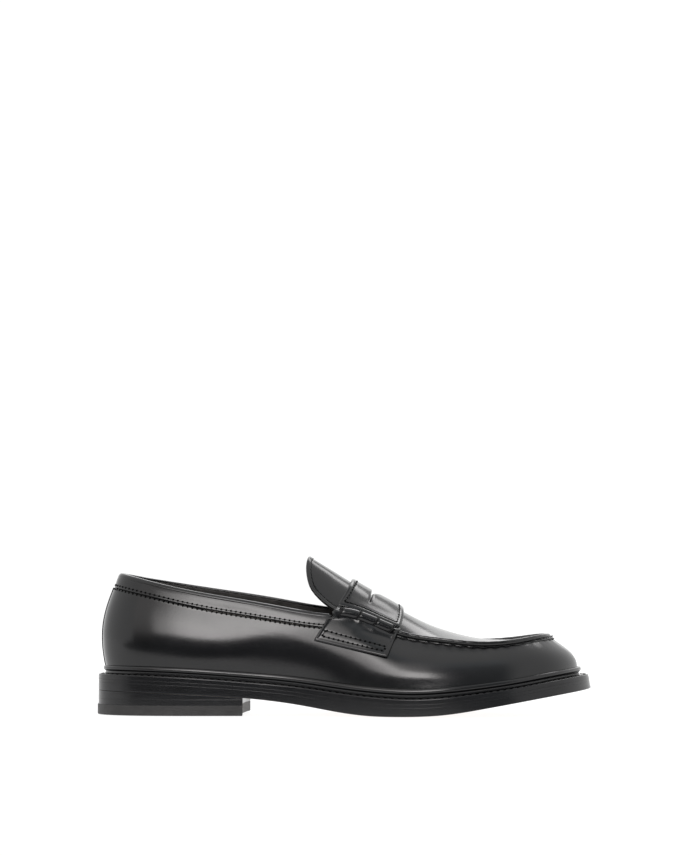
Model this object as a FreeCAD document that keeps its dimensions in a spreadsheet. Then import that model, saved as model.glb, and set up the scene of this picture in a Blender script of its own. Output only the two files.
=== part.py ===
"""Men's penny loafer, right foot, size EU 42: a welted slip-on shoe with a raised apron seam.

Frame: +X to the toe, -Y to the outer (lateral) side, +Z up. The origin lies on the floor,
under the middle of the outsole's length and width.

The bottom of the shoe is a stack of flat-cut layers that are bent to one side profile. The upper is
a stack of leather layers on one last surface, which two plan outlines and a short table of stations
describe: the feather line, where the upper meets the welt, and the top line, which is the edge of the
foot opening behind the strap and the apron seam in front of it.
"""

import FreeCAD, Part

import math
import os

import Sketcher

V = FreeCAD.Vector
doc = FreeCAD.newDocument("PennyLoafer")

# --------------------------------------------------------------------------------------------------
# Driving dimensions, in millimetres
# --------------------------------------------------------------------------------------------------
DIMENSIONS = [
    ("shoe_length", 300.0, "outsole, heel back to toe tip"),
    ("shoe_width", 110.0, "outsole, at the ball of the foot"),
    ("leather_thick", 1.7, "outer leather of the upper"),
    ("stiffener_thick", 0.9, "heel counter, toe puff and side backers"),
    ("lining_thick", 0.9, "lining leather"),
    ("layer_gap", 0.1, "glue line between layers"),
    ("outsole_share", 0.5, "outsole, as a share of the sole edge"),
    ("midsole_share", 0.2, "midsole, as a share of the sole edge"),
    ("toe_lean", 1.4, "how far the welt stops short of the outsole at the toe"),
    ("welt_margin", 6.0, "width of the welt inside the feather line"),
    ("rib_thick", 1.0, "insole rib"),
    ("insole_thick", 3.0, "insole board"),
    ("sock_thick", 1.2, "sock liner"),
    ("heel_pad_thick", 2.0, "cushion pad under the sock liner's heel"),
    ("rand_rise_ends", 5.0, "rand height above the welt, at heel and toe"),
    ("rand_rise_middle", 6.0, "rand height above the welt, at the waist"),
    ("rand_bead", 2.6, "how far the rand's bead stands out"),
    ("breast_outer", -60.0, "heel breast, outer corner"),
    ("breast_inner", -58.3, "heel breast, inner corner"),
    ("breast_hollow", 2.0, "how far the breast curves in"),
    ("top_piece_thick", 6.2, "rubber top piece"),
    ("lift_thick", 3.4, "lower leather lift"),
    ("wedge_height", 9.0, "blank of the wedge lift before it is cut to the sole"),
    ("nail_diameter", 1.8, "heel nails"),
    ("nail_start", 7.0, "height of the nail points above the floor"),
    ("shank_length", 104.0, "steel shank"),
    ("shank_width", 15.0, "steel shank"),
    ("shank_thick", 1.2, "steel shank"),
    ("strap_thick", 1.5, "saddle strap leather"),
    ("strap_lining_thick", 0.8, "saddle strap lining"),
    ("tab_thick", 1.8, "side tabs of the strap"),
    ("slot_length", 36.0, "coin slot in the strap, end to end"),
    ("slot_end_width", 2.4, "coin slot, at its ends"),
    ("slot_mid_width", 5.6, "coin slot, in the middle"),
    ("ridge_height", 4.2, "apron seam ridge"),
    ("ridge_width", 2.6, "apron seam ridge"),
    ("collar_width", 8.8, "collar band round the foot opening"),
    ("stay_width", 4.4, "heel seam strip"),
    ("binding_height", 1.3, "folded binding on the top line"),
    ("side_reach", 130.0, "width of the blanks that the sole layers are cut from"),
]

sheet = doc.addObject("Spreadsheet::Sheet", "dims")
for row, (alias, value, note) in enumerate(DIMENSIONS, start=1):
    sheet.set(f"A{row}", note)
    sheet.set(f"B{row}", str(value))
    sheet.setAlias(f"B{row}", alias)
doc.recompute()


def dim(alias):
    return float(getattr(sheet, alias))


BASE_LENGTH, BASE_WIDTH = 300.0, 110.0  # the size that the tables below are written for
STRETCH_X = dim("shoe_length") / BASE_LENGTH
STRETCH_Y = dim("shoe_width") / BASE_WIDTH


# --------------------------------------------------------------------------------------------------
# Curves
# --------------------------------------------------------------------------------------------------
class Spline:
    """Cubic spline through (t, value) pairs. A periodic one closes after `period`."""

    def __init__(self, pairs, period=None):
        self.t = [p[0] for p in pairs]
        self.y = [p[1] for p in pairs]
        self.period = period
        if period:
            self.t.append(self.t[0] + period)
            self.y.append(self.y[0])
        self.m = self._second_derivatives()

    def _second_derivatives(self):
        n = len(self.t) - 1
        step = [self.t[i + 1] - self.t[i] for i in range(n)]
        slope = [(self.y[i + 1] - self.y[i]) / step[i] for i in range(n)]
        size = n if self.period else n + 1
        rows = [[0.0] * (size + 1) for _ in range(size)]
        for i in range(size):
            if not self.period and i in (0, n):
                rows[i][i] = 1.0
                continue
            before = (i - 1) % n
            rows[i][(i - 1) % size] += step[before]
            rows[i][i] += 2 * (step[before] + step[i])
            rows[i][(i + 1) % size] += step[i]
            rows[i][size] = 6 * (slope[i] - slope[before])
        m = solve(rows)
        return m + [m[0]] if self.period else m

    def __call__(self, t):
        if self.period:
            t = self.t[0] + (t - self.t[0]) % self.period
        last = len(self.t) - 2
        i = 0
        while i < last and t > self.t[i + 1]:
            i += 1
        width = self.t[i + 1] - self.t[i]
        a = (self.t[i + 1] - t) / width
        b = 1 - a
        if a > 1 or b > 1:  # straight on, past the ends
            end = 0 if a > 1 else 1
            rise = (self.y[i + 1] - self.y[i]) / width
            bend = width / 6 * (self.m[i] * (-2, 1)[end] + self.m[i + 1] * (-1, 2)[end])
            return self.y[i + end] + (t - self.t[i + end]) * (rise + bend)
        curve = ((a**3 - a) * self.m[i] + (b**3 - b) * self.m[i + 1]) * width**2 / 6
        return a * self.y[i] + b * self.y[i + 1] + curve


def solve(rows):
    """Gauss-Jordan solution of a small square system, each row ending with its right-hand side."""
    n = len(rows)
    for i in range(n):
        pivot = max(range(i, n), key=lambda r: abs(rows[r][i]))
        rows[i], rows[pivot] = rows[pivot], rows[i]
        lead = rows[i][i]
        rows[i] = [x / lead for x in rows[i]]
        for r in range(n):
            if r != i and rows[r][i]:
                factor = rows[r][i]
                rows[r] = [x - factor * y for x, y in zip(rows[r], rows[i])]
    return [row[n] for row in rows]


def spread(low, high, count):
    return [low + (high - low) * i / (count - 1) for i in range(count)]


def along_x(pairs):
    """A height as a function of x, from (x, z) pairs at the base size."""
    return Spline([(x * STRETCH_X, z) for x, z in pairs])


# Side profile of the sole edge: its underside and its top, which is the top of the welt.
sole_bottom = along_x(
    [(-150, 14.6), (-100, 12.8), (-55, 10.0), (-26, 6.3), (-2, 2.2), (14, 0.4), (28, 0.0),
     (42, 0.15), (57, 1.0), (80, 4.3), (104, 8.4), (128, 12.3), (150, 15.2)]
)  # fmt: skip
sole_top = along_x(
    [(-150, 24.4), (-127, 24.0), (-97, 22.8), (-75, 21.3), (-50, 19.3), (-26, 16.9), (-2, 13.6),
     (21, 11.2), (38, 10.4), (57, 11.2), (80, 13.7), (104, 17.2), (128, 21.3), (150, 24.0)]
)  # fmt: skip

# Height of the top line: the foot opening's edge back to x = -5, the apron seam in front of that.
top_line_outer = along_x(
    [(-137, 84.8), (-128, 82.4), (-112, 78.3), (-88, 72.9), (-56, 67.4), (-38, 64.4), (-20, 61.5),
     (-6, 60.0), (4, 58.6), (14, 55.3), (31, 48.4), (57, 43.6), (81, 41.4), (99, 42.0),
     (112, 43.6), (122, 45.2), (131, 46.5)]
)  # fmt: skip
top_line_inner = along_x(
    [(-137, 84.8), (-128, 83.1), (-112, 80.5), (-88, 76.7), (-56, 71.9), (-38, 68.9), (-20, 65.8),
     (-6, 63.8), (4, 61.5), (14, 57.8), (31, 50.6), (57, 45.4), (81, 42.4), (99, 42.6),
     (112, 43.8), (122, 45.2), (131, 46.5)]
)  # fmt: skip
# Height of the instep's centre line, from the tongue's tip to the toe.
crown_line = along_x(
    [(-22, 96.0), (4, 80.0), (15, 73.2), (31, 64.6), (50, 54.8), (67, 48.9), (80, 45.9), (91, 44.8),
     (108, 45.0), (120, 45.9), (131, 46.9)]
)  # fmt: skip
# Side rails of the apron, in plan: they follow its seam and run on past the toe.
rail_outer = along_x([(-30, -27.4), (0, -28.4), (34, -29.5), (62, -31.4), (90, -31.6), (135, -31.6)])
rail_inner = along_x([(-30, 27.6), (0, 29.3), (34, 31.6), (62, 34.0), (92, 34.4), (135, 34.4)])
crown_axis = along_x([(-30, 0.6), (30, 0.9), (80, 1.6), (130, 4.0)])


def apron_height(x, y):
    """Outer surface of the apron and tongue: an arch across the foot between the two rails."""
    centre = crown_axis(x)
    outer = y < centre
    rail = rail_outer(x) if outer else rail_inner(x)
    foot = top_line_outer(x) if outer else top_line_inner(x)
    share = abs((y - centre) / (rail * STRETCH_Y - centre))
    return foot + (crown_line(x) - foot) * math.cos(math.pi / 2 * share)


def rand_top(x):
    share = (2 * x / dim("shoe_length")) ** 2
    return sole_top(x) + dim("rand_rise_middle") + share * (
        dim("rand_rise_ends") - dim("rand_rise_middle")
    )


# --------------------------------------------------------------------------------------------------
# The last: stations from the heel back, round the outer side to the toe, and back on the inner side
# --------------------------------------------------------------------------------------------------
# Each station: share of the way round, feather line (x, y), sole overhang, top line (x, y), and the
# wall's lean at the bottom (outwards) and at the top (inwards), in degrees.
STATIONS = [
    (0.00, (-143.3, 0.8), 5.6, (-136.6, 0.8), 15, 20),  # heel back
    (0.04, (-136.5, -18.5), 5.4, (-130.6, -15.5), 14, 18),  # heel corner
    (0.10, (-111.0, -29.6), 4.8, (-108.5, -25.4), 14, 14),  # heel side
    (0.18, (-68.0, -30.6), 4.6, (-67.0, -29.0), 15.5, 8),  # waist, back
    (0.25, (-28.0, -31.9), 4.8, (-31.0, -29.8), 8, 18),  # waist
    (0.31, (8.0, -40.8), 5.2, (-1.0, -30.4), 2, 27),  # under the strap
    (0.36, (42.0, -46.6), 5.9, (33.0, -29.5), 4, 42),  # ball
    (0.41, (76.0, -46.1), 6.3, (65.0, -31.5), 4, 50),  # forepart
    (0.45, (105.0, -39.4), 6.6, (95.0, -30.2), 4, 52),  # toe, side
    (0.48, (128.0, -25.2), 7.2, (116.0, -19.0), 9, 49),  # toe, corner
    (0.51, (142.2, 5.0), 8.5, (126.6, 5.0), 13, 46),  # toe tip
    (0.54, (131.8, 29.4), 7.2, (118.0, 23.4), 9, 49),  # toe, corner
    (0.58, (112.0, 42.0), 6.2, (100.0, 32.4), 4, 50),  # toe, side
    (0.63, (84.0, 48.6), 5.6, (70.0, 34.2), 5, 48),  # forepart
    (0.68, (52.0, 49.4), 5.4, (38.0, 32.0), 5, 40),  # ball
    (0.73, (16.0, 42.0), 5.0, (2.0, 29.4), 3, 24),  # under the strap
    (0.79, (-24.0, 31.4), 4.6, (-29.0, 28.0), 3, 12),  # waist
    (0.86, (-66.0, 28.8), 4.5, (-66.0, 27.8), 6, 10),  # waist, back
    (0.92, (-108.0, 30.4), 4.8, (-106.0, 26.4), 11, 13),  # heel side
    (0.97, (-135.6, 20.4), 5.4, (-130.0, 17.4), 14, 18),  # heel corner
]


def station_spline(values, scale=1.0):
    return Spline([(s[0], scale * v) for s, v in zip(STATIONS, values)], period=1.0)


feather_x = station_spline([s[1][0] for s in STATIONS], STRETCH_X)
feather_y = station_spline([s[1][1] for s in STATIONS], STRETCH_Y)
overhang = station_spline([s[2] for s in STATIONS])
top_x = station_spline([s[3][0] for s in STATIONS], STRETCH_X)
top_y = station_spline([s[3][1] for s in STATIONS], STRETCH_Y)
lean_bottom = station_spline([s[4] for s in STATIONS])
lean_top = station_spline([s[5] for s in STATIONS])

# Places round the shoe that pieces start and end at.
SEAM_START_OUTER, SEAM_START_INNER = 0.305, 0.735  # where the foot opening meets the apron seam
TOE_TIP = 0.51
WALL_START = 0.15  # height above the welt at which the wall's layers begin
HANDLE_LOW, HANDLE_HIGH = 0.50, 0.33  # how full the wall's curve is at its foot and at its top


def plan_normal(x_of, y_of, u):
    """Unit normal of a closed plan outline, pointing out of the shoe."""
    step = 1e-4
    along = V(x_of(u + step) - x_of(u - step), y_of(u + step) - y_of(u - step), 0).normalize()
    return V(along.y, -along.x, 0)


def feather(u, out=0.0):
    """Point of the feather line in plan, moved outwards."""
    return V(feather_x(u), feather_y(u), 0) + plan_normal(feather_x, feather_y, u) * out


def top_height(u, x, y):
    """Height of the top line. The apron's own surface gives it round the toe."""
    side = top_line_outer(x) if u % 1.0 < TOE_TIP else top_line_inner(x)
    return side if x < 80 * STRETCH_X else apron_height(x, y)


def wall(u, v):
    """Outer surface of the upper's wall: u runs round the shoe, v up from the welt to the top line."""
    low = feather(u)
    low.z = sole_top(low.x) + WALL_START
    x, y = top_x(u), top_y(u)
    high = V(x, y, top_height(u, x, y))
    out = plan_normal(feather_x, feather_y, u)
    chord = (high - low).Length
    tilt_low, tilt_high = math.radians(lean_bottom(u)), math.radians(lean_top(u))
    rise = out * math.sin(tilt_low) + V(0, 0, math.cos(tilt_low))
    bend_low = low + rise * (chord * HANDLE_LOW)
    drop = out * math.sin(tilt_high) - V(0, 0, math.cos(tilt_high))
    bend_high = high + drop * (chord * HANDLE_HIGH)
    w = 1 - v
    return low * w**3 + bend_low * (3 * w * w * v) + bend_high * (3 * w * v * v) + high * v**3


def wall_point(u, v, offset=0.0):
    """Point of the wall moved along its normal, outwards for a positive offset."""
    point = wall(u, v)
    if not offset:
        return point
    step = 1e-3
    round_shoe = wall(u + step, v) - wall(u - step, v)
    upwards = wall(u, min(v + step, 1.0)) - wall(u, max(v - step, 0.0))
    return point + round_shoe.cross(upwards).normalize() * offset


def wall_place(x, z, inner_side):
    """(u, v) of the wall's point at a given x and height, on one side of the shoe."""
    low_u, high_u = (TOE_TIP + 0.08, 0.95) if inner_side else (0.05, TOE_TIP - 0.08)
    u, v = 0.0, 0.5
    for _ in range(12):
        a, b = low_u, high_u
        for _ in range(30):
            u = (a + b) / 2
            ahead = wall(u, v).x < x
            a, b = (u, b) if ahead != inner_side else (a, u)
        a, b = 0.0, 1.0
        for _ in range(30):
            v = (a + b) / 2
            a, b = (v, b) if wall(u, v).z < z else (a, v)
    return u, v


# --------------------------------------------------------------------------------------------------
# Solids from curved surfaces
# --------------------------------------------------------------------------------------------------
def surface_face(grid):
    surface = Part.BSplineSurface()
    surface.interpolate(grid)
    return surface.toShape()


def closed_solid(faces):
    shell = Part.makeShell(faces)
    shell.sewShape()
    solid = Part.makeSolid(shell if shell.ShapeType == "Shell" else shell.Shells[0])
    if solid.Volume < 0:
        solid.reverse()
    return solid


def slab(outer, inner):
    """Solid between two facing grids of points."""
    top, bottom = surface_face(outer), surface_face(inner)
    sides = [Part.makeRuledSurface(a, b, 1) for a, b in zip(top.Edges, bottom.Edges)]
    return closed_solid([top, bottom] + sides)


def band(u_range, v_range, outside, inside, columns=30, rows=7):
    """Layer of the wall. v_range gives the lower and upper edge at each u."""
    us = spread(u_range[0], u_range[1], columns)

    def grid(offset):
        return [[wall_point(u, v, offset) for v in spread(*v_range(u), rows)] for u in us]

    return slab(grid(outside), grid(inside))


def strip(rings, closed=False):
    """Solid strip whose cross-section is a polygon: rings of the same number of points along it."""
    lines = []
    for points in zip(*rings):
        curve = Part.BSplineCurve()
        curve.interpolate(Points=list(points), PeriodicFlag=closed)
        lines.append(curve.toShape())
    faces = [Part.makeRuledSurface(a, b) for a, b in zip(lines, lines[1:] + lines[:1])]
    if not closed:
        for ring in (rings[0], rings[-1]):
            faces.append(Part.makeFilledFace(Part.makePolygon(ring + ring[:1]).Edges))
    return closed_solid(faces)


def feature(name, shape):
    part = doc.addObject("Part::Feature", name)
    part.Label = name
    part.Shape = shape
    part.Placement = FreeCAD.Placement()
    return part


# --------------------------------------------------------------------------------------------------
# Flat-cut layers: a side profile padded across the shoe, then cut to a plan outline
# --------------------------------------------------------------------------------------------------
PROFILE_POINTS, OUTLINE_POINTS = 25, 48
PROFILE_REACH = 158.0 * STRETCH_X


def new_sketch(body, name, role):
    plane = next(f for f in body.Origin.OriginFeatures if f.Role == role)
    sketch = body.newObject("Sketcher::SketchObject", name)
    sketch.AttachmentSupport = [(plane, "")]
    sketch.MapMode = "FlatFace"
    return sketch


def through_points(points, closed=False):
    curve = Part.BSplineCurve()
    curve.interpolate(Points=points, PeriodicFlag=closed)
    return curve


def add_profile(sketch, lower, upper, low_x, high_x):
    """Closed band between two heights that are functions of x."""
    xs = spread(low_x, high_x, PROFILE_POINTS)
    for level in (lower, upper):
        sketch.addGeometry(through_points([V(x, level(x), 0) for x in xs]), False)
    for x in (low_x, high_x):
        sketch.addGeometry(Part.LineSegment(V(x, lower(x), 0), V(x, upper(x), 0)), False)


def add_frame(sketch, reach_x, reach_y):
    corners = [V(-reach_x, -reach_y, 0), V(reach_x, -reach_y, 0), V(reach_x, reach_y, 0),
               V(-reach_x, reach_y, 0)]  # fmt: skip
    for a, b in zip(corners, corners[1:] + corners[:1]):
        sketch.addGeometry(Part.LineSegment(a, b), False)


def pocket_through(body, sketch, name):
    faces, size = len(body.Shape.Faces), body.Shape.BoundBox.DiagonalLength
    pocket = body.newObject("PartDesign::Pocket", name)
    pocket.Profile = sketch
    pocket.Type = "ThroughAll"
    pocket.Midplane = True
    doc.recompute()
    shrunk = body.Shape.BoundBox.DiagonalLength < size - 1.0
    if len(body.Shape.Faces) == faces and not shrunk:
        raise RuntimeError(f"{name} cut nothing")
    return pocket


def layer_body(name, lower, upper, low_x=-PROFILE_REACH, high_x=PROFILE_REACH):
    """Body padded across the shoe from a side profile."""
    body = doc.addObject("PartDesign::Body", name)
    body.Label = name
    profile = new_sketch(body, name + "_profile", "XZ_Plane")
    add_profile(profile, lower, upper, low_x, high_x)
    pad = body.newObject("PartDesign::Pad", name + "_pad")
    pad.Profile = profile
    pad.Midplane = True
    pad.setExpression("Length", "dims.side_reach")
    doc.recompute()
    return body


def outline_points(out):
    return [out(u) for u in spread(0, 1, OUTLINE_POINTS + 1)[:-1]]


def trim_to_outline(body, out):
    """Cuts away what lies outside a closed plan outline."""
    sketch = new_sketch(body, body.Name + "_outline", "XY_Plane")
    add_frame(sketch, PROFILE_REACH + 20, dim("side_reach"))
    sketch.addGeometry(through_points(outline_points(out), closed=True), False)
    pocket_through(body, sketch, body.Name + "_trim")


def hollow_out(body, out):
    """Cuts away what lies inside a closed plan outline."""
    sketch = new_sketch(body, body.Name + "_hollow", "XY_Plane")
    sketch.addGeometry(through_points(outline_points(out), closed=True), False)
    pocket_through(body, sketch, body.Name + "_opening")


# Heel nails, in plan: a horseshoe inside the heel's edge.
NAIL_COUNT = 7
NAIL_RING = (-100.0, 0.5, 21.0, 26.0)  # centre x and y, radius across and along the shoe


def nail_centres():
    x, y, across, along = NAIL_RING
    angles = [math.radians(a) for a in spread(60, 300, NAIL_COUNT)]
    return [V(x * STRETCH_X + along * math.cos(a), y + across * math.sin(a), 0) for a in angles]


def drill_nails(body):
    sketch = new_sketch(body, body.Name + "_nail_holes", "XY_Plane")
    for centre in nail_centres():
        hole = sketch.addGeometry(Part.Circle(centre, V(0, 0, 1), dim("nail_diameter") / 2), False)
        ring = sketch.addConstraint(Sketcher.Constraint("Diameter", hole, dim("nail_diameter")))
        sketch.setExpression(f"Constraints[{ring}]", "dims.nail_diameter")
    pocket_through(body, sketch, body.Name + "_drill")


def sole_level(share, rise=0.0):
    """Height inside the sole edge: share 0 is its underside and 1 the top of the welt."""
    return lambda x: sole_bottom(x) + share * (sole_top(x) - sole_bottom(x)) + rise


def sole_outline(share):
    """Outline of the sole edge at a share of its height. The toe leans back with height."""

    def out(u):
        at_toe = 0.0
        if abs(u - TOE_TIP) < 0.12:
            at_toe = math.cos(math.pi * (u - TOE_TIP) / 0.24)
        return feather(u, overhang(u) - dim("toe_lean") * share * at_toe)

    return out


def inside_feather(distance):
    return lambda u: feather(u, -distance)


OUTSOLE_TOP = dim("outsole_share")
MIDSOLE_TOP = OUTSOLE_TOP + dim("midsole_share")
WALL_LAYERS = (
    dim("leather_thick") + dim("stiffener_thick") + dim("lining_thick") + 3 * dim("layer_gap")
)


def make_bottom():
    """Outsole, midsole, welt, and everything between the midsole and the foot."""
    outsole = layer_body("outsole", sole_level(0), sole_level(OUTSOLE_TOP))
    trim_to_outline(outsole, sole_outline(OUTSOLE_TOP / 2))
    drill_nails(outsole)

    midsole = layer_body("midsole", sole_level(OUTSOLE_TOP), sole_level(MIDSOLE_TOP))
    trim_to_outline(midsole, sole_outline(MIDSOLE_TOP))
    drill_nails(midsole)

    rib_outer = dim("welt_margin") + dim("layer_gap")
    rib_inner = rib_outer + dim("rib_thick")
    filler_edge = rib_inner + dim("layer_gap")
    welt = layer_body("welt", sole_level(MIDSOLE_TOP), sole_level(1))
    trim_to_outline(welt, sole_outline(1))
    hollow_out(welt, inside_feather(dim("welt_margin")))

    rib = layer_body("insole_rib", sole_level(MIDSOLE_TOP), sole_level(1))
    trim_to_outline(rib, inside_feather(rib_outer))
    hollow_out(rib, inside_feather(rib_inner))

    filler = layer_body("cork_filler", sole_level(MIDSOLE_TOP), sole_level(1))
    trim_to_outline(filler, inside_feather(filler_edge))
    drill_nails(filler)
    cut_shank_seat(filler)

    insole = layer_body("insole", sole_level(1), sole_level(1, dim("insole_thick")))
    trim_to_outline(insole, inside_feather(WALL_LAYERS + dim("layer_gap")))
    drill_nails(insole)

    make_shank()
    make_sock()
    make_nails()


SHANK_CENTRE = (-48.0, 0.0)
SHANK_CLEARANCE = 0.1


def shank_outline(sketch, half_length, half_width):
    """Long slot shape with round ends."""
    x, y = SHANK_CENTRE[0] * STRETCH_X, SHANK_CENTRE[1]
    straight = half_length - half_width
    ends = [(x - straight, 90), (x + straight, -90)]
    for centre, start in ends:
        circle = Part.Circle(V(centre, y, 0), V(0, 0, 1), half_width)
        first, last = math.radians(start), math.radians(start + 180)
        sketch.addGeometry(Part.ArcOfCircle(circle, first, last), False)
    for side in (-half_width, half_width):
        line = Part.LineSegment(V(x - straight, y + side, 0), V(x + straight, y + side, 0))
        sketch.addGeometry(line, False)


def cut_shank_seat(filler):
    """Groove for the shank, open at the filler's underside."""
    roof = sole_level(MIDSOLE_TOP, dim("shank_thick") + 0.15)
    seat = layer_body("shank_seat", sole_level(MIDSOLE_TOP, -1), roof)
    trim_shank(seat, SHANK_CLEARANCE)
    cut = filler.newObject("PartDesign::Boolean", "cork_filler_seat")
    cut.Type = "Cut"
    cut.addObject(seat)
    doc.recompute()


def trim_shank(body, clearance):
    sketch = new_sketch(body, body.Name + "_outline", "XY_Plane")
    add_frame(sketch, PROFILE_REACH + 20, dim("side_reach"))
    half_length = dim("shank_length") / 2 + clearance
    shank_outline(sketch, half_length, dim("shank_width") / 2 + clearance)
    pocket_through(body, sketch, body.Name + "_trim")


def make_shank():
    low = sole_level(MIDSOLE_TOP, 0.05)
    shank = layer_body("shank", low, sole_level(MIDSOLE_TOP, 0.05 + dim("shank_thick")))
    trim_shank(shank, 0.0)


SOCK_END_X = 131.0
HEEL_PAD_END_X = -62.0


def make_sock():
    """Sock liner over the whole insole, on a soft pad under the heel."""
    edge = WALL_LAYERS + 3 * dim("layer_gap")
    thick = dim("heel_pad_thick")
    pad_height = Spline([(-150, thick), (-85, thick), (-62, 0.1), (-40, 0.0), (150, 0.0)])
    floor_rise = dim("insole_thick") + dim("layer_gap")

    def pad_top(x):
        return sole_top(x) + floor_rise + max(0.0, pad_height(x))

    pad_end = HEEL_PAD_END_X * STRETCH_X
    pad = layer_body("heel_pad", sole_level(1, floor_rise), pad_top, -PROFILE_REACH, pad_end)
    trim_to_outline(pad, inside_feather(edge + 4.0))

    def sock_bottom(x):
        return pad_top(x) + dim("layer_gap")

    def sock_top(x):
        return sock_bottom(x) + dim("sock_thick")

    sock = layer_body("sock_liner", sock_bottom, sock_top, -PROFILE_REACH, SOCK_END_X * STRETCH_X)
    trim_to_outline(sock, inside_feather(edge))


def make_nails():
    """Heel nails, driven from the insole down into the lifts, as one group of separate solids."""
    shapes = []
    for centre in nail_centres():
        head = sole_top(centre.x) + dim("insole_thick") - 0.3
        base = V(centre.x, centre.y, dim("nail_start"))
        shapes.append(Part.makeCylinder(dim("nail_diameter") / 2, head - base.z, base))
    feature("heel_nails", Part.makeCompound(shapes))


# --------------------------------------------------------------------------------------------------
# Heel
# --------------------------------------------------------------------------------------------------
HEEL_POINTS = 21


def breast_share(inner_side):
    """How far round the sole outline the heel breast starts, on one side."""
    target = dim("breast_inner" if inner_side else "breast_outer") * STRETCH_X
    low, high = (0.8, 0.95) if inner_side else (0.08, 0.25)
    for _ in range(40):
        middle = (low + high) / 2
        behind = sole_outline(0)(middle).x < target
        low, high = (middle, high) if behind != inner_side else (low, middle)
    return (low + high) / 2


def add_heel_outline(sketch, grow=0.0):
    """Sole outline round the heel, closed by the hollow breast."""
    outer, inner = breast_share(False), breast_share(True)
    shares = spread(inner - 1.0, outer, HEEL_POINTS)
    rear = [feather(u % 1.0, overhang(u % 1.0) + grow) for u in shares]
    sketch.addGeometry(through_points(rear), False)
    middle = (rear[0] + rear[-1]) / 2 - V(dim("breast_hollow"), 0, 0)
    sketch.addGeometry(Part.Arc(rear[-1], middle, rear[0]), False)


def heel_layer(name, base, thickness, grow=0.0):
    """Layer of the heel stack. base and thickness are spreadsheet expressions."""
    body = doc.addObject("PartDesign::Body", name)
    body.Label = name
    sketch = new_sketch(body, name + "_outline", "XY_Plane")
    add_heel_outline(sketch, grow)
    sketch.setExpression("AttachmentOffset.Base.z", base)
    pad = body.newObject("PartDesign::Pad", name + "_pad")
    pad.Profile = sketch
    pad.setExpression("Length", thickness)
    doc.recompute()
    return body


def make_heel():
    heel_layer("heel_top_piece", "0", "dims.top_piece_thick", grow=0.5)
    lift_base = "dims.top_piece_thick"
    lift = heel_layer("heel_lift_lower", lift_base, "dims.lift_thick")
    drill_nails(lift)
    wedge = heel_layer("heel_lift_wedge", lift_base + " + dims.lift_thick", "dims.wedge_height")
    above = new_sketch(wedge, "heel_lift_wedge_cut", "XZ_Plane")
    add_profile(above, sole_bottom, lambda x: sole_bottom(x) + 20, -PROFILE_REACH, -40 * STRETCH_X)
    pocket_through(wedge, above, "heel_lift_wedge_trim")
    drill_nails(wedge)


# --------------------------------------------------------------------------------------------------
# Rand: flange against the upper with a bead along its top
# --------------------------------------------------------------------------------------------------
RAND_RINGS = 72


def make_rand():
    # Cross-section: distance out from the feather line, and share of the rand's height.
    bead = dim("rand_bead")
    section = [(0.1, 0.02), (bead - 0.8, 0.02), (bead - 0.8, 0.48), (bead - 0.1, 0.58), (bead, 0.72),
               (bead - 0.3, 0.9), (bead - 1.1, 1.0), (0.55, 0.94), (0.4, 0.5)]  # fmt: skip
    rings = []
    for u in spread(0, 1, RAND_RINGS + 1)[:-1]:
        ring = []
        for out, share in section:
            point = feather(u, out)
            bottom = sole_top(point.x)
            point.z = bottom + share * (rand_top(point.x) - bottom)
            clear = wall_clearance(u, point.z)
            ring.append(feather(u, max(out, clear)) + V(0, 0, point.z))
        rings.append(ring)
    feature("rand", strip(rings, closed=True))


def wall_clearance(u, z):
    """How far outside the feather line the wall is at a given height, plus a glue line."""
    low, high = 0.0, 0.5
    for _ in range(20):
        v = (low + high) / 2
        low, high = (v, high) if wall(u, v).z < z else (low, v)
    foot = feather(u)
    at = wall(u, v)
    out = plan_normal(feather_x, feather_y, u)
    return (V(at.x, at.y, 0) - foot).dot(out) + 2 * dim("layer_gap")


# --------------------------------------------------------------------------------------------------
# Upper: wall, collar band, linings and stiffeners
# --------------------------------------------------------------------------------------------------
BACK_SEAM_GAP = 0.0012  # half of the slit at the heel seam, as a share of the way round


def collar_seam(u):
    """v of the seam between the wall and the collar band: a fixed width below the top line."""
    low, high = 0.3, 1.0
    top = wall(u, 1.0)
    for _ in range(30):
        v = (low + high) / 2
        low, high = (v, high) if (top - wall(u, v)).Length > dim("collar_width") else (low, v)
    return v


def wall_top(u):
    """Upper edge of the wall leather: the collar seam behind the strap, the apron seam in front."""
    lift = min(
        smooth_step(u, SEAM_START_OUTER - 0.005, SEAM_START_OUTER + 0.02),
        smooth_step(u, SEAM_START_INNER + 0.005, SEAM_START_INNER - 0.02),
    )
    return collar_seam(u) * (1 - lift) + 0.985 * lift


def smooth_step(value, start, end):
    share = min(1.0, max(0.0, (value - start) / (end - start)))
    return share * share * (3 - 2 * share)


def make_wall():
    leather = dim("leather_thick")
    vamp = band(
        (BACK_SEAM_GAP, 1 - BACK_SEAM_GAP), lambda u: (0.0, wall_top(u)), 0.0, -leather, columns=110, rows=8
    )
    feature("vamp_and_quarters", vamp)
    collar = band(
        (SEAM_START_INNER + 0.004 - 1.0, SEAM_START_OUTER - 0.004),
        lambda u: (collar_seam(u % 1.0) + 0.006, 0.992),
        0.0,
        -leather,
        columns=60,
        rows=4,
    )
    feature("collar_band", collar)
    stay_half = dim("stay_width") / 2 / outline_length()
    stay = band(
        (-stay_half, stay_half),
        lambda u: (0.16, collar_seam(u % 1.0) - 0.01),
        0.9,
        0.1,
        columns=5,
        rows=8,
    )
    feature("heel_seam_strip", stay)


def outline_length():
    points = [feather(u) for u in spread(0, 1, 101)]
    return sum((b - a).Length for a, b in zip(points, points[1:]))


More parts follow.
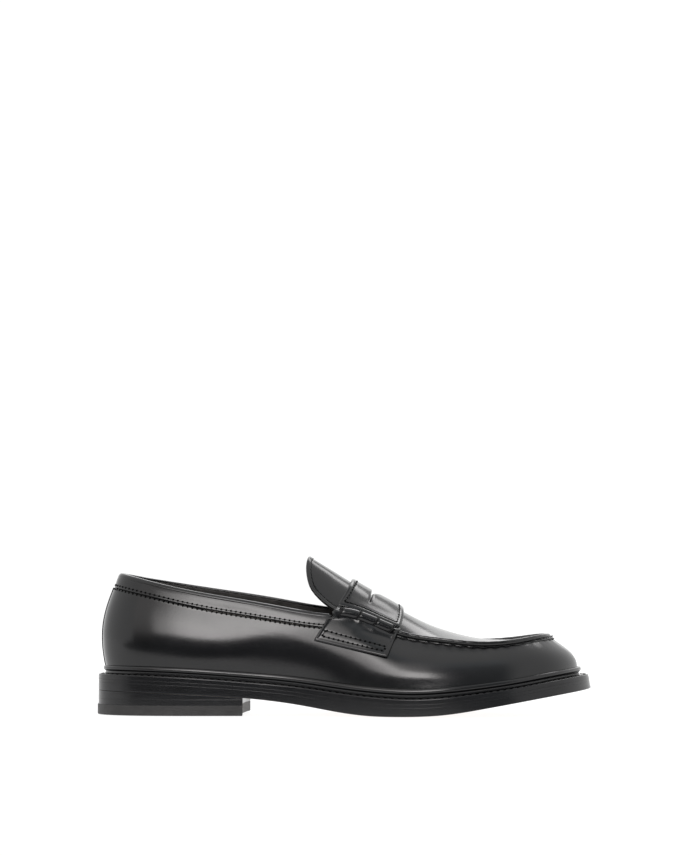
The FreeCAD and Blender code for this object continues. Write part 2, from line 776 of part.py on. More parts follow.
# Stretches of the way round that each stiffener covers, and how high up the wall it reaches.
STIFFENERS = {
    "heel_counter": ((-0.145, 0.145), 0.80),
    "side_backer_outer": ((0.15, 0.405), 0.86),
    "toe_puff": ((0.41, 0.61), 0.93),
    "side_backer_inner": ((0.615, 0.85), 0.86),
}


def make_linings():
    under_leather = -dim("leather_thick") - dim("layer_gap")
    under_stiffener = under_leather - dim("stiffener_thick")
    for name, (reach, height) in STIFFENERS.items():
        columns = 4 + round(110 * (reach[1] - reach[0]))
        piece = band(reach, lambda u: (0.004, height), under_leather, under_stiffener, columns, 7)
        feature(name, piece)
    outside = under_stiffener - dim("layer_gap")
    inside = outside - dim("lining_thick")
    quarter = band((-0.26, 0.30), lambda u: (0.004, 0.985), outside, inside, 64, 7)
    feature("quarter_lining", quarter)
    vamp = band((0.305, 0.735), lambda u: (0.004, 0.93), outside, inside, 52, 7)
    feature("vamp_lining", vamp)
    grip = band((-0.05, 0.05), lambda u: (0.30, 0.90), inside - dim("layer_gap"), inside - 0.8, 11, 6)
    feature("heel_grip", grip)


def make_binding():
    """Folded edge along the foot opening, over the collar band and the lining."""
    half = WALL_LAYERS / 2
    rings = []
    for u in spread(SEAM_START_INNER + 0.008 - 1.0, SEAM_START_OUTER - 0.008, 60):
        centre = wall_point(u, 1.0, -half)
        out = plan_normal(top_x, top_y, u % 1.0)
        # Cross-section: distance out from the middle of the layers, and height on the top line.
        section = [(-half, 0.1), (half - 0.1, 0.1), (half + 0.1, 0.6), (half - 0.7, 1.0),
                   (0.7 - half, 1.0), (-half - 0.1, 0.6)]  # fmt: skip
        tall = dim("binding_height")
        rings.append([centre + out * a + V(0, 0, b * tall) for a, b in section])
    feature("topline_binding", strip(rings))


# --------------------------------------------------------------------------------------------------
# Apron with its tongue, and the ridge along its seam
# --------------------------------------------------------------------------------------------------
TONGUE_EDGE = Spline(
    [(-1.0, -1.5), (-0.94, -6.0), (-0.89, -10.8), (-0.8, -16.8), (-0.72, -20.0), (-0.6, -21.7),
     (-0.45, -22.1), (-0.25, -21.5), (0.0, -20.6), (0.25, -21.5), (0.45, -22.1), (0.6, -21.7),
     (0.72, -20.0), (0.8, -16.8), (0.89, -10.8), (0.94, -6.0), (1.0, -1.5)]
)  # fmt: skip


def apron_point(x, share, offset=0.0):
    """Point of the apron: share runs from -1 at the outer rail to 1 at the inner one."""
    centre = crown_axis(x)
    rail = (rail_outer(x) if share < 0 else rail_inner(x)) * STRETCH_Y
    y = centre + abs(share) * (rail - centre)
    point = V(x, y, apron_height(x, y))
    if not offset:
        return point
    step = 0.05
    slope_x = (apron_height(x + step, y) - apron_height(x - step, y)) / (2 * step)
    slope_y = (apron_height(x, y + step) - apron_height(x, y - step)) / (2 * step)
    return point + V(-slope_x, -slope_y, 1).normalize() * offset


def apron_slab(x_range, share, outside, inside, columns, rows=17):
    """Layer of the apron over a stretch of x, between equal shares of the two rails."""
    xs = spread(x_range[0] * STRETCH_X, x_range[1] * STRETCH_X, columns)
    shares = spread(-share, share, rows)

    def grid(offset):
        return [[apron_point(x, s, offset) for s in shares] for x in xs]

    return slab(grid(outside), grid(inside))


def seam_inset(u, distance):
    point = V(top_x(u), top_y(u), 0)
    return point - plan_normal(top_x, top_y, u) * distance


def apron_outline(distance, tongue_inset):
    """Plan wire of the apron: the seam round the toe, and the tongue's free edge behind."""
    seam = [seam_inset(u, distance) for u in spread(SEAM_START_OUTER, SEAM_START_INNER, 60)]
    edge = []
    for share in spread(-1.0, 1.0, 25):
        x = (TONGUE_EDGE(share) + tongue_inset) * STRETCH_X
        point = apron_point(x, share)
        edge.append(V(point.x, point.y, 0))
    rear = through_points([seam[0]] + edge[1:-1] + [seam[-1]])
    return Part.Wire([through_points(seam).toShape(), rear.toShape()])


def prism(name, wire):
    """Tall upright solid on a plan wire, used to cut a slab to its outline."""
    face = Part.Face(wire)
    face.translate(V(0, 0, -10))
    return feature(name, face.extrude(V(0, 0, 140)))


def cut_to_plan(name, blank, wire):
    """Blank solid cut to a plan outline, as a Part::Common."""
    base = feature(name + "_blank", blank)
    tool = prism(name + "_cutter", wire)
    common = doc.addObject("Part::Common", name)
    common.Label = name
    common.Base = base
    common.Tool = tool
    doc.recompute()
    return common


def make_apron():
    leather, lining, gap = dim("leather_thick"), dim("lining_thick"), dim("layer_gap")
    half_ridge = dim("ridge_width") / 2
    blank = apron_slab((-26, 131), 1.1, 0.0, -leather, 34)
    cut_to_plan("apron_and_tongue", blank, apron_outline(half_ridge + 0.1, 0.0))
    blank = apron_slab((-26, 131), 1.1, -leather - gap, -leather - gap - lining, 34)
    cut_to_plan("apron_lining", blank, apron_outline(half_ridge + 1.6, 0.8))


def seam_frame(u):
    """Point of the apron seam with its outward and upward directions, square to the seam."""
    x, y = top_x(u), top_y(u)
    here = V(x, y, top_height(u, x, y))
    step = 2e-3
    ahead = V(top_x(u + step), top_y(u + step), 0)
    ahead.z = top_height(u + step, ahead.x, ahead.y)
    along = (ahead - here).normalize()
    out = plan_normal(top_x, top_y, u)
    tilt = 0.45 - 0.8 * max(0.0, out.x) ** 2  # outwards at the sides, back over the toe
    lean = (out * tilt + V(0, 0, 0.9)).normalize()
    across = along.cross(lean).normalize()
    up = across.cross(along).normalize()
    return here, across, up


def seam_strip(u_range, section, count):
    """Strip along the apron seam. The section's points are (across, up) from the seam line."""
    rings = []
    for u in spread(u_range[0], u_range[1], count):
        here, across, up = seam_frame(u)
        rings.append([here + across * a + up * b for a, b in section])
    return strip(rings)


def make_ridge():
    """Raised seam: the two leathers' edges, rolled up together."""
    half, tall = dim("ridge_width") / 2, dim("ridge_height")
    section = [(-half, -1.2), (half, -1.2), (half, 0.55 * tall - 1.2), (0.6 * half, 0.9 * tall - 1.2),
               (0.0, tall - 1.2), (-0.6 * half, 0.9 * tall - 1.2), (-half, 0.55 * tall - 1.2)]  # fmt: skip
    ridge = seam_strip((SEAM_START_OUTER + 0.002, SEAM_START_INNER - 0.002), section, 90)
    feature("apron_ridge", ridge)


# --------------------------------------------------------------------------------------------------
# Saddle strap: top with its coin slot, rolls over the seam ridge, and side tabs
# --------------------------------------------------------------------------------------------------
STRAP_REAR = Spline([(-1.0, -5.4), (-0.6, 1.4), (0.0, 4.8), (0.6, 1.4), (1.0, -5.4)])
STRAP_FRONT = Spline([(-1.0, 31.0), (-0.6, 34.0), (0.0, 34.4), (0.6, 34.0), (1.0, 31.0)])
STRAP_SHARE = 0.93  # the strap's top stops this share of the way to the seam
ROLL_START, ROLL_END = -1.2, 27.8  # x of the rolls
ROLL_COUNT = 3


def strap_blank(outside, inside):
    """Layer over the apron between the strap's rear and front edges."""
    shares = spread(-STRAP_SHARE, STRAP_SHARE, 17)

    def grid(offset):
        rows = []
        for part in spread(0.0, 1.0, 9):
            xs = [STRAP_REAR(s) + part * (STRAP_FRONT(s) - STRAP_REAR(s)) for s in shares]
            rows.append([apron_point(x * STRETCH_X, s, offset) for x, s in zip(xs, shares)])
        return rows

    return slab(grid(outside), grid(inside))


SLOT_X = 13.3  # rear corners of the coin slot
SLOT_BOW = 2.2  # how far its rear edge bows forwards


def slot_wire():
    """Plan outline of the coin slot: narrow slits that widen forwards to a lens in the middle."""
    half = dim("slot_length") / 2
    x, y = SLOT_X * STRETCH_X, crown_axis(SLOT_X)
    front, rear = [], []
    for share in spread(-1.0, 1.0, 13):
        bow = max(0.0, math.cos(math.pi * share)) ** 2 if abs(share) < 0.5 else 0.0
        width = dim("slot_end_width") + bow * (dim("slot_mid_width") - dim("slot_end_width"))
        rear_x = x + SLOT_BOW * (1 - share**2)
        rear.append(V(rear_x, y + share * half, 0))
        front.append(V(rear_x + width, y + share * half, 0))
    outline = rear + front[::-1]
    return Part.makePolygon(outline + outline[:1])


def make_strap():
    gap, lining, leather = dim("layer_gap"), dim("strap_lining_thick"), dim("strap_thick")
    slot = prism("coin_slot_cutter", slot_wire())
    layers = {"strap_lining": (gap, gap + lining), "strap": (2 * gap + lining, 2 * gap + lining + leather)}
    for name, (low, high) in layers.items():
        blank = feature(name + "_blank", strap_blank(high, low))
        cut = doc.addObject("Part::Cut", name)
        cut.Label = name
        cut.Base = blank
        cut.Tool = slot
        doc.recompute()


def seam_u_at(x, inner_side):
    """How far round the shoe the apron seam passes a given x."""
    low, high = (0.6, 0.8) if inner_side else (0.25, 0.45)
    for _ in range(40):
        middle = (low + high) / 2
        behind = top_x(middle) < x
        low, high = (middle, high) if behind != inner_side else (low, middle)
    return (low + high) / 2


def make_rolls():
    """Strap leather gathered over the seam ridge: three short arches on each side."""
    half, tall = dim("ridge_width") / 2 + 0.15, dim("ridge_height") + 0.6
    skin = 1.2
    inner_arch = [(half, -1.2), (half, 0.55 * tall - 1.2), (0.0, tall - 1.1), (-half, 0.55 * tall - 1.2),
                  (-half, -1.2)]  # fmt: skip
    wide = half + skin
    outer_arch = [(-wide, -1.2), (-wide, 0.6 * tall - 1.0), (-0.5 * wide, tall - 0.4),
                  (0.0, tall - 1.1 + skin), (0.5 * wide, tall - 0.4), (wide, 0.6 * tall - 1.0),
                  (wide, -1.2)]  # fmt: skip
    length = (ROLL_END - ROLL_START) / ROLL_COUNT
    for name, inner_side in (("strap_rolls_outer", False), ("strap_rolls_inner", True)):
        solids = []
        for index in range(ROLL_COUNT):
            start = (ROLL_START + length * index + 0.3) * STRETCH_X
            end = (ROLL_START + length * (index + 1) - 0.3) * STRETCH_X
            reach = (seam_u_at(start, inner_side), seam_u_at(end, inner_side))
            solids.append(seam_strip(reach, outer_arch + inner_arch, 7))
        feature(name, Part.makeCompound(solids))


# Corners of the side tabs as (x, height): rear top, front top, front bottom, rear bottom.
TAB_OUTER = [(-8.4, 57.8), (29.0, 44.6), (24.8, 35.2), (-16.6, 45.0)]
TAB_INNER = [(-5.8, 60.2), (30.6, 46.6), (27.0, 36.2), (-14.8, 47.6)]


def make_tabs():
    """Side tabs: quarters of leather that hang from the rolls down the wall."""
    for name, corners, inner_side in (
        ("strap_tab_outer", TAB_OUTER, False),
        ("strap_tab_inner", TAB_INNER, True),
    ):
        rear_top, front_top, front_low, rear_low = [V(x * STRETCH_X, 0, z) for x, z in corners]

        def grid(offset, inner_side=inner_side):
            rows = []
            for a in spread(0, 1, 9):
                top = rear_top * (1 - a) + front_top * a
                low = rear_low * (1 - a) + front_low * a
                line = [low * (1 - b) + top * b for b in spread(0, 1, 7)]
                places = [wall_place(p.x, p.z, inner_side) for p in line]
                rows.append([wall_point(u, v, offset) for u, v in places])
            return rows

        gap = dim("layer_gap")
        feature(name, slab(grid(gap + dim("tab_thick")), grid(gap)))


# --------------------------------------------------------------------------------------------------
# Build, check and write
# --------------------------------------------------------------------------------------------------
PARTS = [
    "outsole", "midsole", "welt", "insole_rib", "cork_filler", "shank", "insole", "heel_pad",
    "sock_liner", "heel_nails", "heel_top_piece", "heel_lift_lower", "heel_lift_wedge", "rand",
    "vamp_and_quarters", "collar_band", "heel_seam_strip", "heel_counter", "side_backer_outer",
    "toe_puff", "side_backer_inner", "quarter_lining", "vamp_lining", "heel_grip",
    "topline_binding", "apron_and_tongue", "apron_lining", "apron_ridge", "strap", "strap_lining",
    "strap_rolls_outer", "strap_rolls_inner", "strap_tab_outer", "strap_tab_inner",
]  # fmt: skip


def write_parts():
    doc.recompute()
    for thing in doc.Objects:
        bad = [state for state in thing.State if state in ("Invalid", "Error")]
        if bad:
            raise RuntimeError(f"{thing.Label} is {bad}")
    os.makedirs("parts", exist_ok=True)
    for name in PARTS:
        part = doc.getObjectsByLabel(name)[0]
        shape = part.Shape
        if shape.isNull() or not shape.isValid() or not shape.Solids:
            raise RuntimeError(f"{name} has no valid solid")
        shape.exportStep(os.path.join("parts", name + ".step"))
        box = shape.BoundBox
        print(f"{name:20s} {shape.Volume / 1000:8.2f} cm3  {len(shape.Solids)} solid(s)  "
              f"x {box.XMin:.1f}..{box.XMax:.1f}  y {box.YMin:.1f}..{box.YMax:.1f}  "
              f"z {box.ZMin:.1f}..{box.ZMax:.1f}")  # fmt: skip


make_bottom()
make_heel()
make_rand()
make_wall()
make_linings()
make_binding()
make_apron()
make_ridge()
make_strap()
make_rolls()
make_tabs()
write_parts()
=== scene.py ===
"""Penny loafer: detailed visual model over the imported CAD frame. Lengths are in mm until a mesh is made."""

import math

import bmesh
import bpy
import numpy as np
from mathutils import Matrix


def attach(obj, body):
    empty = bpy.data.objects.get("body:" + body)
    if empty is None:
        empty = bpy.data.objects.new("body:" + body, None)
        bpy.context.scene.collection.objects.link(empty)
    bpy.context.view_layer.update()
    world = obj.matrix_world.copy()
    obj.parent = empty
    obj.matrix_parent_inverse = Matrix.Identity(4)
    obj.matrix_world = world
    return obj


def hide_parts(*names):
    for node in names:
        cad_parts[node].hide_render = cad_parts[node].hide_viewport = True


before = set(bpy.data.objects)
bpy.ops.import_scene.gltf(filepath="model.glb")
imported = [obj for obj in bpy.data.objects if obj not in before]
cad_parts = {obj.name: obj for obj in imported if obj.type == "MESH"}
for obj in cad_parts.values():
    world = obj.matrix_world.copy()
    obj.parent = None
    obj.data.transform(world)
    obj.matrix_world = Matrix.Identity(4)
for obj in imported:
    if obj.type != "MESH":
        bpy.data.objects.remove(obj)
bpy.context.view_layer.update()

MM = 0.001

# ---- Thicknesses and layout shared with the CAD ----
LEATHER, STIFFENER, LINING, GLUE = 1.7, 0.9, 0.9, 0.1
ALL_LAYERS = LEATHER + STIFFENER + LINING + 3 * GLUE
RIDGE_HALF = 1.3
COLLAR_WIDTH, SEAM_GAP = 8.8, 0.36
STRAP_TOP = 2.5
SEAM_START_OUTER, SEAM_START_INNER, TOE_TIP = 0.305, 0.735, 0.51


# ---- Splines ----
class Spline:
    """Cubic spline through (t, value) pairs, natural or periodic, evaluated on arrays."""

    def __init__(self, pairs, period=None):
        t = [p[0] for p in pairs]
        y = [p[1] for p in pairs]
        self.period = period
        if period:
            t.append(t[0] + period)
            y.append(y[0])
        self.t, self.y = np.array(t, float), np.array(y, float)
        self.m = self._second_derivatives()

    def _second_derivatives(self):
        step, slope = np.diff(self.t), np.diff(self.y) / np.diff(self.t)
        n = len(step)
        size = n if self.period else n + 1
        a, b = np.zeros((size, size)), np.zeros(size)
        for i in range(size):
            if not self.period and i in (0, n):
                a[i, i] = 1
                continue
            before = (i - 1) % n
            a[i, (i - 1) % size] += step[before]
            a[i, i] += 2 * (step[before] + step[i])
            a[i, (i + 1) % size] += step[i]
            b[i] = 6 * (slope[i] - slope[before])
        m = np.linalg.solve(a, b)
        return np.append(m, m[0]) if self.period else m

    def __call__(self, t):
        t = np.asarray(t, float)
        if self.period:
            t = self.t[0] + np.mod(t - self.t[0], self.period)
        i = np.clip(np.searchsorted(self.t, t, side="right") - 1, 0, len(self.t) - 2)
        width = self.t[i + 1] - self.t[i]
        a = (self.t[i + 1] - t) / width
        b = 1 - a
        inside = a * self.y[i] + b * self.y[i + 1]
        inside = inside + ((a**3 - a) * self.m[i] + (b**3 - b) * self.m[i + 1]) * width**2 / 6
        rise = (self.y[i + 1] - self.y[i]) / width
        below = self.y[i] + (t - self.t[i]) * (rise + width / 6 * (-2 * self.m[i] - self.m[i + 1]))
        above = self.y[i + 1] + (t - self.t[i + 1]) * (rise + width / 6 * (self.m[i] + 2 * self.m[i + 1]))
        return np.where(a > 1, below, np.where(b > 1, above, inside))


sole_bottom = Spline(
    [(-150, 14.6), (-100, 12.8), (-55, 10.0), (-26, 6.3), (-2, 2.2), (14, 0.4), (28, 0.0),
     (42, 0.15), (57, 1.0), (80, 4.3), (104, 8.4), (128, 12.3), (150, 15.2)]
)
sole_top = Spline(
    [(-150, 24.4), (-127, 24.0), (-97, 22.8), (-75, 21.3), (-50, 19.3), (-26, 16.9), (-2, 13.6),
     (21, 11.2), (38, 10.4), (57, 11.2), (80, 13.7), (104, 17.2), (128, 21.3), (150, 24.0)]
)
top_line_outer = Spline(
    [(-137, 84.8), (-128, 82.4), (-112, 78.3), (-88, 72.9), (-56, 67.4), (-38, 64.4), (-20, 61.5),
     (-6, 60.0), (4, 58.6), (14, 55.3), (31, 48.4), (57, 43.6), (81, 41.4), (99, 42.0),
     (112, 43.6), (122, 45.2), (131, 46.5)]
)
top_line_inner = Spline(
    [(-137, 84.8), (-128, 83.1), (-112, 80.5), (-88, 76.7), (-56, 71.9), (-38, 68.9), (-20, 65.8),
     (-6, 63.8), (4, 61.5), (14, 57.8), (31, 50.6), (57, 45.4), (81, 42.4), (99, 42.6),
     (112, 43.8), (122, 45.2), (131, 46.5)]
)
crown_line = Spline(
    [(-22, 96.0), (4, 80.0), (15, 73.2), (31, 64.6), (50, 54.8), (67, 48.9), (80, 45.9), (91, 44.8),
     (108, 45.0), (120, 45.9), (131, 46.9)]
)
rail_outer = Spline([(-30, -27.4), (0, -28.4), (34, -29.5), (62, -31.4), (90, -31.6), (135, -31.6)])
rail_inner = Spline([(-30, 27.6), (0, 29.3), (34, 31.6), (62, 34.0), (92, 34.4), (135, 34.4)])
crown_axis = Spline([(-30, 0.6), (30, 0.9), (80, 1.6), (130, 4.0)])

# Share of the way round, feather line, sole overhang, top line, lean at the bottom and at the top.
STATIONS = [
    (0.00, (-143.3, 0.8), 5.6, (-136.6, 0.8), 15, 20),
    (0.04, (-136.5, -18.5), 5.4, (-130.6, -15.5), 14, 18),
    (0.10, (-111.0, -29.6), 4.8, (-108.5, -25.4), 14, 14),
    (0.18, (-68.0, -30.6), 4.6, (-67.0, -29.0), 15.5, 8),
    (0.25, (-28.0, -31.9), 4.8, (-31.0, -29.8), 8, 18),
    (0.31, (8.0, -40.8), 5.2, (-1.0, -30.4), 2, 27),
    (0.36, (42.0, -46.6), 5.9, (33.0, -29.5), 4, 42),
    (0.41, (76.0, -46.1), 6.3, (65.0, -31.5), 4, 50),
    (0.45, (105.0, -39.4), 6.6, (95.0, -30.2), 4, 52),
    (0.48, (128.0, -25.2), 7.2, (116.0, -19.0), 9, 49),
    (0.51, (142.2, 5.0), 8.5, (126.6, 5.0), 13, 46),
    (0.54, (131.8, 29.4), 7.2, (118.0, 23.4), 9, 49),
    (0.58, (112.0, 42.0), 6.2, (100.0, 32.4), 4, 50),
    (0.63, (84.0, 48.6), 5.6, (70.0, 34.2), 5, 48),
    (0.68, (52.0, 49.4), 5.4, (38.0, 32.0), 5, 40),
    (0.73, (16.0, 42.0), 5.0, (2.0, 29.4), 3, 24),
    (0.79, (-24.0, 31.4), 4.6, (-29.0, 28.0), 3, 12),
    (0.86, (-66.0, 28.8), 4.5, (-66.0, 27.8), 6, 10),
    (0.92, (-108.0, 30.4), 4.8, (-106.0, 26.4), 11, 13),
    (0.97, (-135.6, 20.4), 5.4, (-130.0, 17.4), 14, 18),
]


def station_spline(values):
    return Spline([(s[0], v) for s, v in zip(STATIONS, values)], period=1.0)


feather_x = station_spline([s[1][0] for s in STATIONS])
feather_y = station_spline([s[1][1] for s in STATIONS])
overhang = station_spline([s[2] for s in STATIONS])
top_x = station_spline([s[3][0] for s in STATIONS])
top_y = station_spline([s[3][1] for s in STATIONS])
lean_bottom = station_spline([s[4] for s in STATIONS])
lean_top = station_spline([s[5] for s in STATIONS])


# ---- Small vector helpers. Points are arrays whose last axis is x, y, z. ----
def stack(*parts):
    return np.stack(np.broadcast_arrays(*parts), axis=-1)


def unit(v):
    return v / np.maximum(np.linalg.norm(v, axis=-1, keepdims=True), 1e-12)


def smooth(value, start, end):
    share = np.clip((np.asarray(value, float) - start) / (end - start), 0, 1)
    return share * share * (3 - 2 * share)


def plan_normal(x_of, y_of, u):
    step = 1e-4
    dx, dy = x_of(u + step) - x_of(u - step), y_of(u + step) - y_of(u - step)
    return unit(stack(dy, -dx, 0 * dx))


def feather(u, out=0.0):
    foot = stack(feather_x(u), feather_y(u), 0.0)
    return foot + plan_normal(feather_x, feather_y, u) * np.asarray(out, float)[..., None]


def apron_height(x, y):
    centre = crown_axis(x)
    outer = y < centre
    rail = np.where(outer, rail_outer(x), rail_inner(x))
    foot = np.where(outer, top_line_outer(x), top_line_inner(x))
    share = np.abs((y - centre) / (rail - centre))
    return foot + (crown_line(x) - foot) * np.cos(np.pi / 2 * share)


def top_height(u, x, y):
    side = np.where(np.mod(u, 1.0) < TOE_TIP, top_line_outer(x), top_line_inner(x))
    return np.where(x < 80, side, apron_height(x, y))


def wall(u, v):
    u, v = np.broadcast_arrays(np.asarray(u, float), np.asarray(v, float))
    low = feather(u)
    low = low + stack(0 * u, 0 * u, sole_top(low[..., 0]) + 0.15)
    x, y = top_x(u), top_y(u)
    high = stack(x, y, top_height(u, x, y))
    out = plan_normal(feather_x, feather_y, u)
    chord = np.linalg.norm(high - low, axis=-1, keepdims=True)
    up = np.array([0.0, 0.0, 1.0])
    a, b = np.radians(lean_bottom(u))[..., None], np.radians(lean_top(u))[..., None]
    bend_low = low + (out * np.sin(a) + up * np.cos(a)) * (chord * 0.50)
    bend_high = high + (out * np.sin(b) - up * np.cos(b)) * (chord * 0.33)
    v = v[..., None]
    w = 1 - v
    return low * w**3 + bend_low * (3 * w * w * v) + bend_high * (3 * w * v * v) + high * v**3


def wall_normal(u, v):
    step = 1e-3
    along = wall(u + step, v) - wall(u - step, v)
    upwards = wall(u, np.minimum(v + step, 1.0)) - wall(u, np.maximum(v - step, 0.0))
    return unit(np.cross(along, upwards))


def wall_point(u, v, offset=0.0):
    return wall(u, v) + wall_normal(u, v) * np.asarray(offset, float)[..., None]


V_TABLE = np.linspace(0, 1, 81)


def v_below_top(u, distance):
    """v of the wall's points that lie at given distances (mm, along the leather) below the top line."""
    u = np.atleast_1d(np.asarray(u, float))
    distance = np.broadcast_to(np.asarray(distance, float), (len(u),) + np.shape(distance)[-1:])
    points = wall(u[:, None], V_TABLE[None, :])
    length = np.linalg.norm(np.diff(points, axis=1), axis=-1)
    down = np.concatenate([np.cumsum(length[:, ::-1], axis=1)[:, ::-1], np.zeros((len(u), 1))], axis=1)
    rows = [np.interp(d, down[i, ::-1], V_TABLE[::-1]) for i, d in enumerate(distance)]
    return np.array(rows)


def wall_place(x, z, inner_side):
    """(u, v) of the wall's points at given x and z on one side of the shoe."""
    shape = np.broadcast(x, z).shape
    x, z = np.broadcast_to(x, shape).astype(float), np.broadcast_to(z, shape).astype(float)
    low_u, high_u = (TOE_TIP + 0.08, 0.95) if inner_side else (0.05, TOE_TIP - 0.08)
    v = np.full(shape, 0.5)
    for _ in range(10):
        a, b = np.full(shape, low_u), np.full(shape, high_u)
        for _ in range(24):
            u = (a + b) / 2
            forward = (wall(u, v)[..., 0] < x) != inner_side
            a, b = np.where(forward, u, a), np.where(forward, b, u)
        a, b = np.zeros(shape), np.ones(shape)
        for _ in range(24):
            v = (a + b) / 2
            below = wall(u, v)[..., 2] < z
            a, b = np.where(below, v, a), np.where(below, b, v)
    return u, v


def apron_point(x, share, offset=0.0):
    """Point of the apron's outer surface: share runs from -1 at the outer rail to 1 at the inner one."""
    x, share = np.broadcast_arrays(np.asarray(x, float), np.asarray(share, float))
    centre = crown_axis(x)
    rail = np.where(share < 0, rail_outer(x), rail_inner(x))
    return on_apron(x, centre + np.abs(share) * (rail - centre), offset)


def apron_normal(x, y):
    step = 0.1
    slope_x = (apron_height(x + step, y) - apron_height(x - step, y)) / (2 * step)
    slope_y = (apron_height(x, y + step) - apron_height(x, y - step)) / (2 * step)
    return unit(stack(-slope_x, -slope_y, 1.0))


def on_apron(x, y, offset=0.0):
    return stack(x, y, apron_height(x, y)) + apron_normal(x, y) * np.asarray(offset, float)[..., None]


def seam_frame(u):
    """Apron seam: its point, and its outward and upward directions square to it."""
    u = np.asarray(u, float)

    def at(w):
        x, y = top_x(w), top_y(w)
        return stack(x, y, top_height(w, x, y))

    here, step = at(u), 2e-3
    along = unit(at(u + step) - at(u - step))
    out = plan_normal(top_x, top_y, u)
    tilt = 0.45 - 0.8 * np.maximum(0.0, out[..., 0:1]) ** 2
    lean = unit(out * tilt + np.array([0, 0, 0.9]))
    across = unit(np.cross(along, lean))
    up = unit(np.cross(across, along))
    return here, across, up


def arc_length(points, closed=False):
    if closed:
        points = np.vstack([points, points[:1]])
    return np.concatenate([[0], np.cumsum(np.linalg.norm(np.diff(points, axis=0), axis=1))])


def resample(points, at, extra=()):
    """Points of a polyline at given distances along it, with the same for other arrays."""
    length = arc_length(points)
    return [np.stack([np.interp(at, length, column) for column in a.T], axis=1) for a in (points, *extra)]


# ---- Mesh making ----
def make_piece(name, vertices, faces, material, slot, replaces=(), sharp_degrees=None):
    mesh = bpy.data.meshes.new(name)
    mesh.from_pydata((np.asarray(vertices) * MM).tolist(), [], [list(map(int, f)) for f in faces])
    bm = bmesh.new()
    bm.from_mesh(mesh)
    bmesh.ops.remove_doubles(bm, verts=bm.verts, dist=2e-6)
    bmesh.ops.dissolve_degenerate(bm, edges=bm.edges, dist=1e-6)
    bmesh.ops.recalc_face_normals(bm, faces=bm.faces)
    for face in bm.faces:
        face.smooth = True
    if sharp_degrees:
        limit = math.radians(sharp_degrees)
        for edge in bm.edges:
            if len(edge.link_faces) == 2 and edge.calc_face_angle(0.0) > limit:
                edge.smooth = False
    bm.to_mesh(mesh)
    bm.free()
    mesh.materials.append(material)
    piece = bpy.data.objects.new(name, mesh)
    bpy.context.collection.objects.link(piece)
    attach(piece, "root")
    if replaces:
        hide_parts(*replaces)
    return piece


def make_joined(name, parts, material, slot, replaces=()):
    """One piece from several closed parts."""
    verts, faces = join(parts)
    make_piece(name, verts, faces, material, slot, replaces)


def make_skin(name, points, normals, thickness, material, slot, replaces, round_out=None):
    """Shell of even thickness behind a grid of surface points."""
    rows, columns = points.shape[:2]
    points, normals = points.reshape(-1, 3), normals.reshape(-1, 3)
    faces = orient(points, normals, grid_faces(rows, columns))
    verts, faces = thicken(points, normals, faces, thickness, round_out)
    make_piece(name, verts, faces, material, slot, replaces)


def grid_faces(rows, columns, wrap_rows=False, wrap_columns=False, base=0):
    i = np.arange(rows if wrap_rows else rows - 1)
    j = np.arange(columns if wrap_columns else columns - 1)
    i, j = np.meshgrid(i, j, indexing="ij")
    ni, nj = (i + 1) % rows, (j + 1) % columns
    quads = np.stack([i * columns + j, ni * columns + j, ni * columns + nj, i * columns + nj], axis=-1)
    return (quads.reshape(-1, 4) + base).tolist()


ROUND_STEPS = 5


def thicken(points, normals, faces, thickness, round_out=None):
    """Closed shell from an open skin: an outer and an inner surface, joined by rounded edges."""
    points, normals = np.asarray(points, float), np.asarray(normals, float)
    count = len(points)
    thickness = np.broadcast_to(np.asarray(thickness, float), (count,))
    round_out = thickness / 2 if round_out is None else np.broadcast_to(round_out, (count,))
    directed = {}
    for face in faces:
        for a, b in zip(face, list(face[1:]) + [face[0]]):
            if a != b:
                directed[(a, b)] = True
    border = [(a, b) for a, b in directed if (b, a) not in directed]
    outward = {}
    for a, b in border:
        side = np.cross(points[b] - points[a], (normals[a] + normals[b]) / 2)
        side = side / max(np.linalg.norm(side), 1e-9)
        for k in (a, b):
            outward.setdefault(k, []).append(side)
    edge_points = sorted(outward)
    place = {k: i for i, k in enumerate(edge_points)}
    miter = []
    for k in edge_points:
        total = np.sum(outward[k], axis=0)
        length = max(np.linalg.norm(total), 1e-9)
        stretch = min(1.4, len(outward[k]) / length)
        miter.append(total / length * stretch)
    miter = np.array(miter).reshape(-1, 3)
    verts = [points, points - normals * thickness[:, None]]
    ids = np.array(edge_points, int)
    rings = []
    for step in range(1, ROUND_STEPS):
        angle = math.pi / 2 - math.pi * step / ROUND_STEPS
        middle = points[ids] - normals[ids] * thickness[ids, None] / 2
        ring = middle + normals[ids] * (math.sin(angle) * thickness[ids, None] / 2)
        ring = ring + miter * (math.cos(angle) * round_out[ids, None])
        rings.append(2 * count + len(ids) * (step - 1))
        verts.append(ring)
    out_faces = [list(f) for f in faces]
    out_faces += [[k + count for k in reversed(f)] for f in faces]
    for a, b in border:
        ladder_a = [a] + [r + place[a] for r in rings] + [a + count]
        ladder_b = [b] + [r + place[b] for r in rings] + [b + count]
        for k in range(len(ladder_a) - 1):
            out_faces.append([ladder_b[k], ladder_a[k], ladder_a[k + 1], ladder_b[k + 1]])
    return np.vstack(verts), out_faces


def clean_faces(faces):
    """Drops repeated corners, so a collapsed quad becomes a triangle."""
    out = []
    for face in faces:
        kept = [k for i, k in enumerate(face) if k != face[i - 1]]
        if len(kept) > 2:
            out.append(kept)
    return out


MERGE_WITHIN = 2e-3


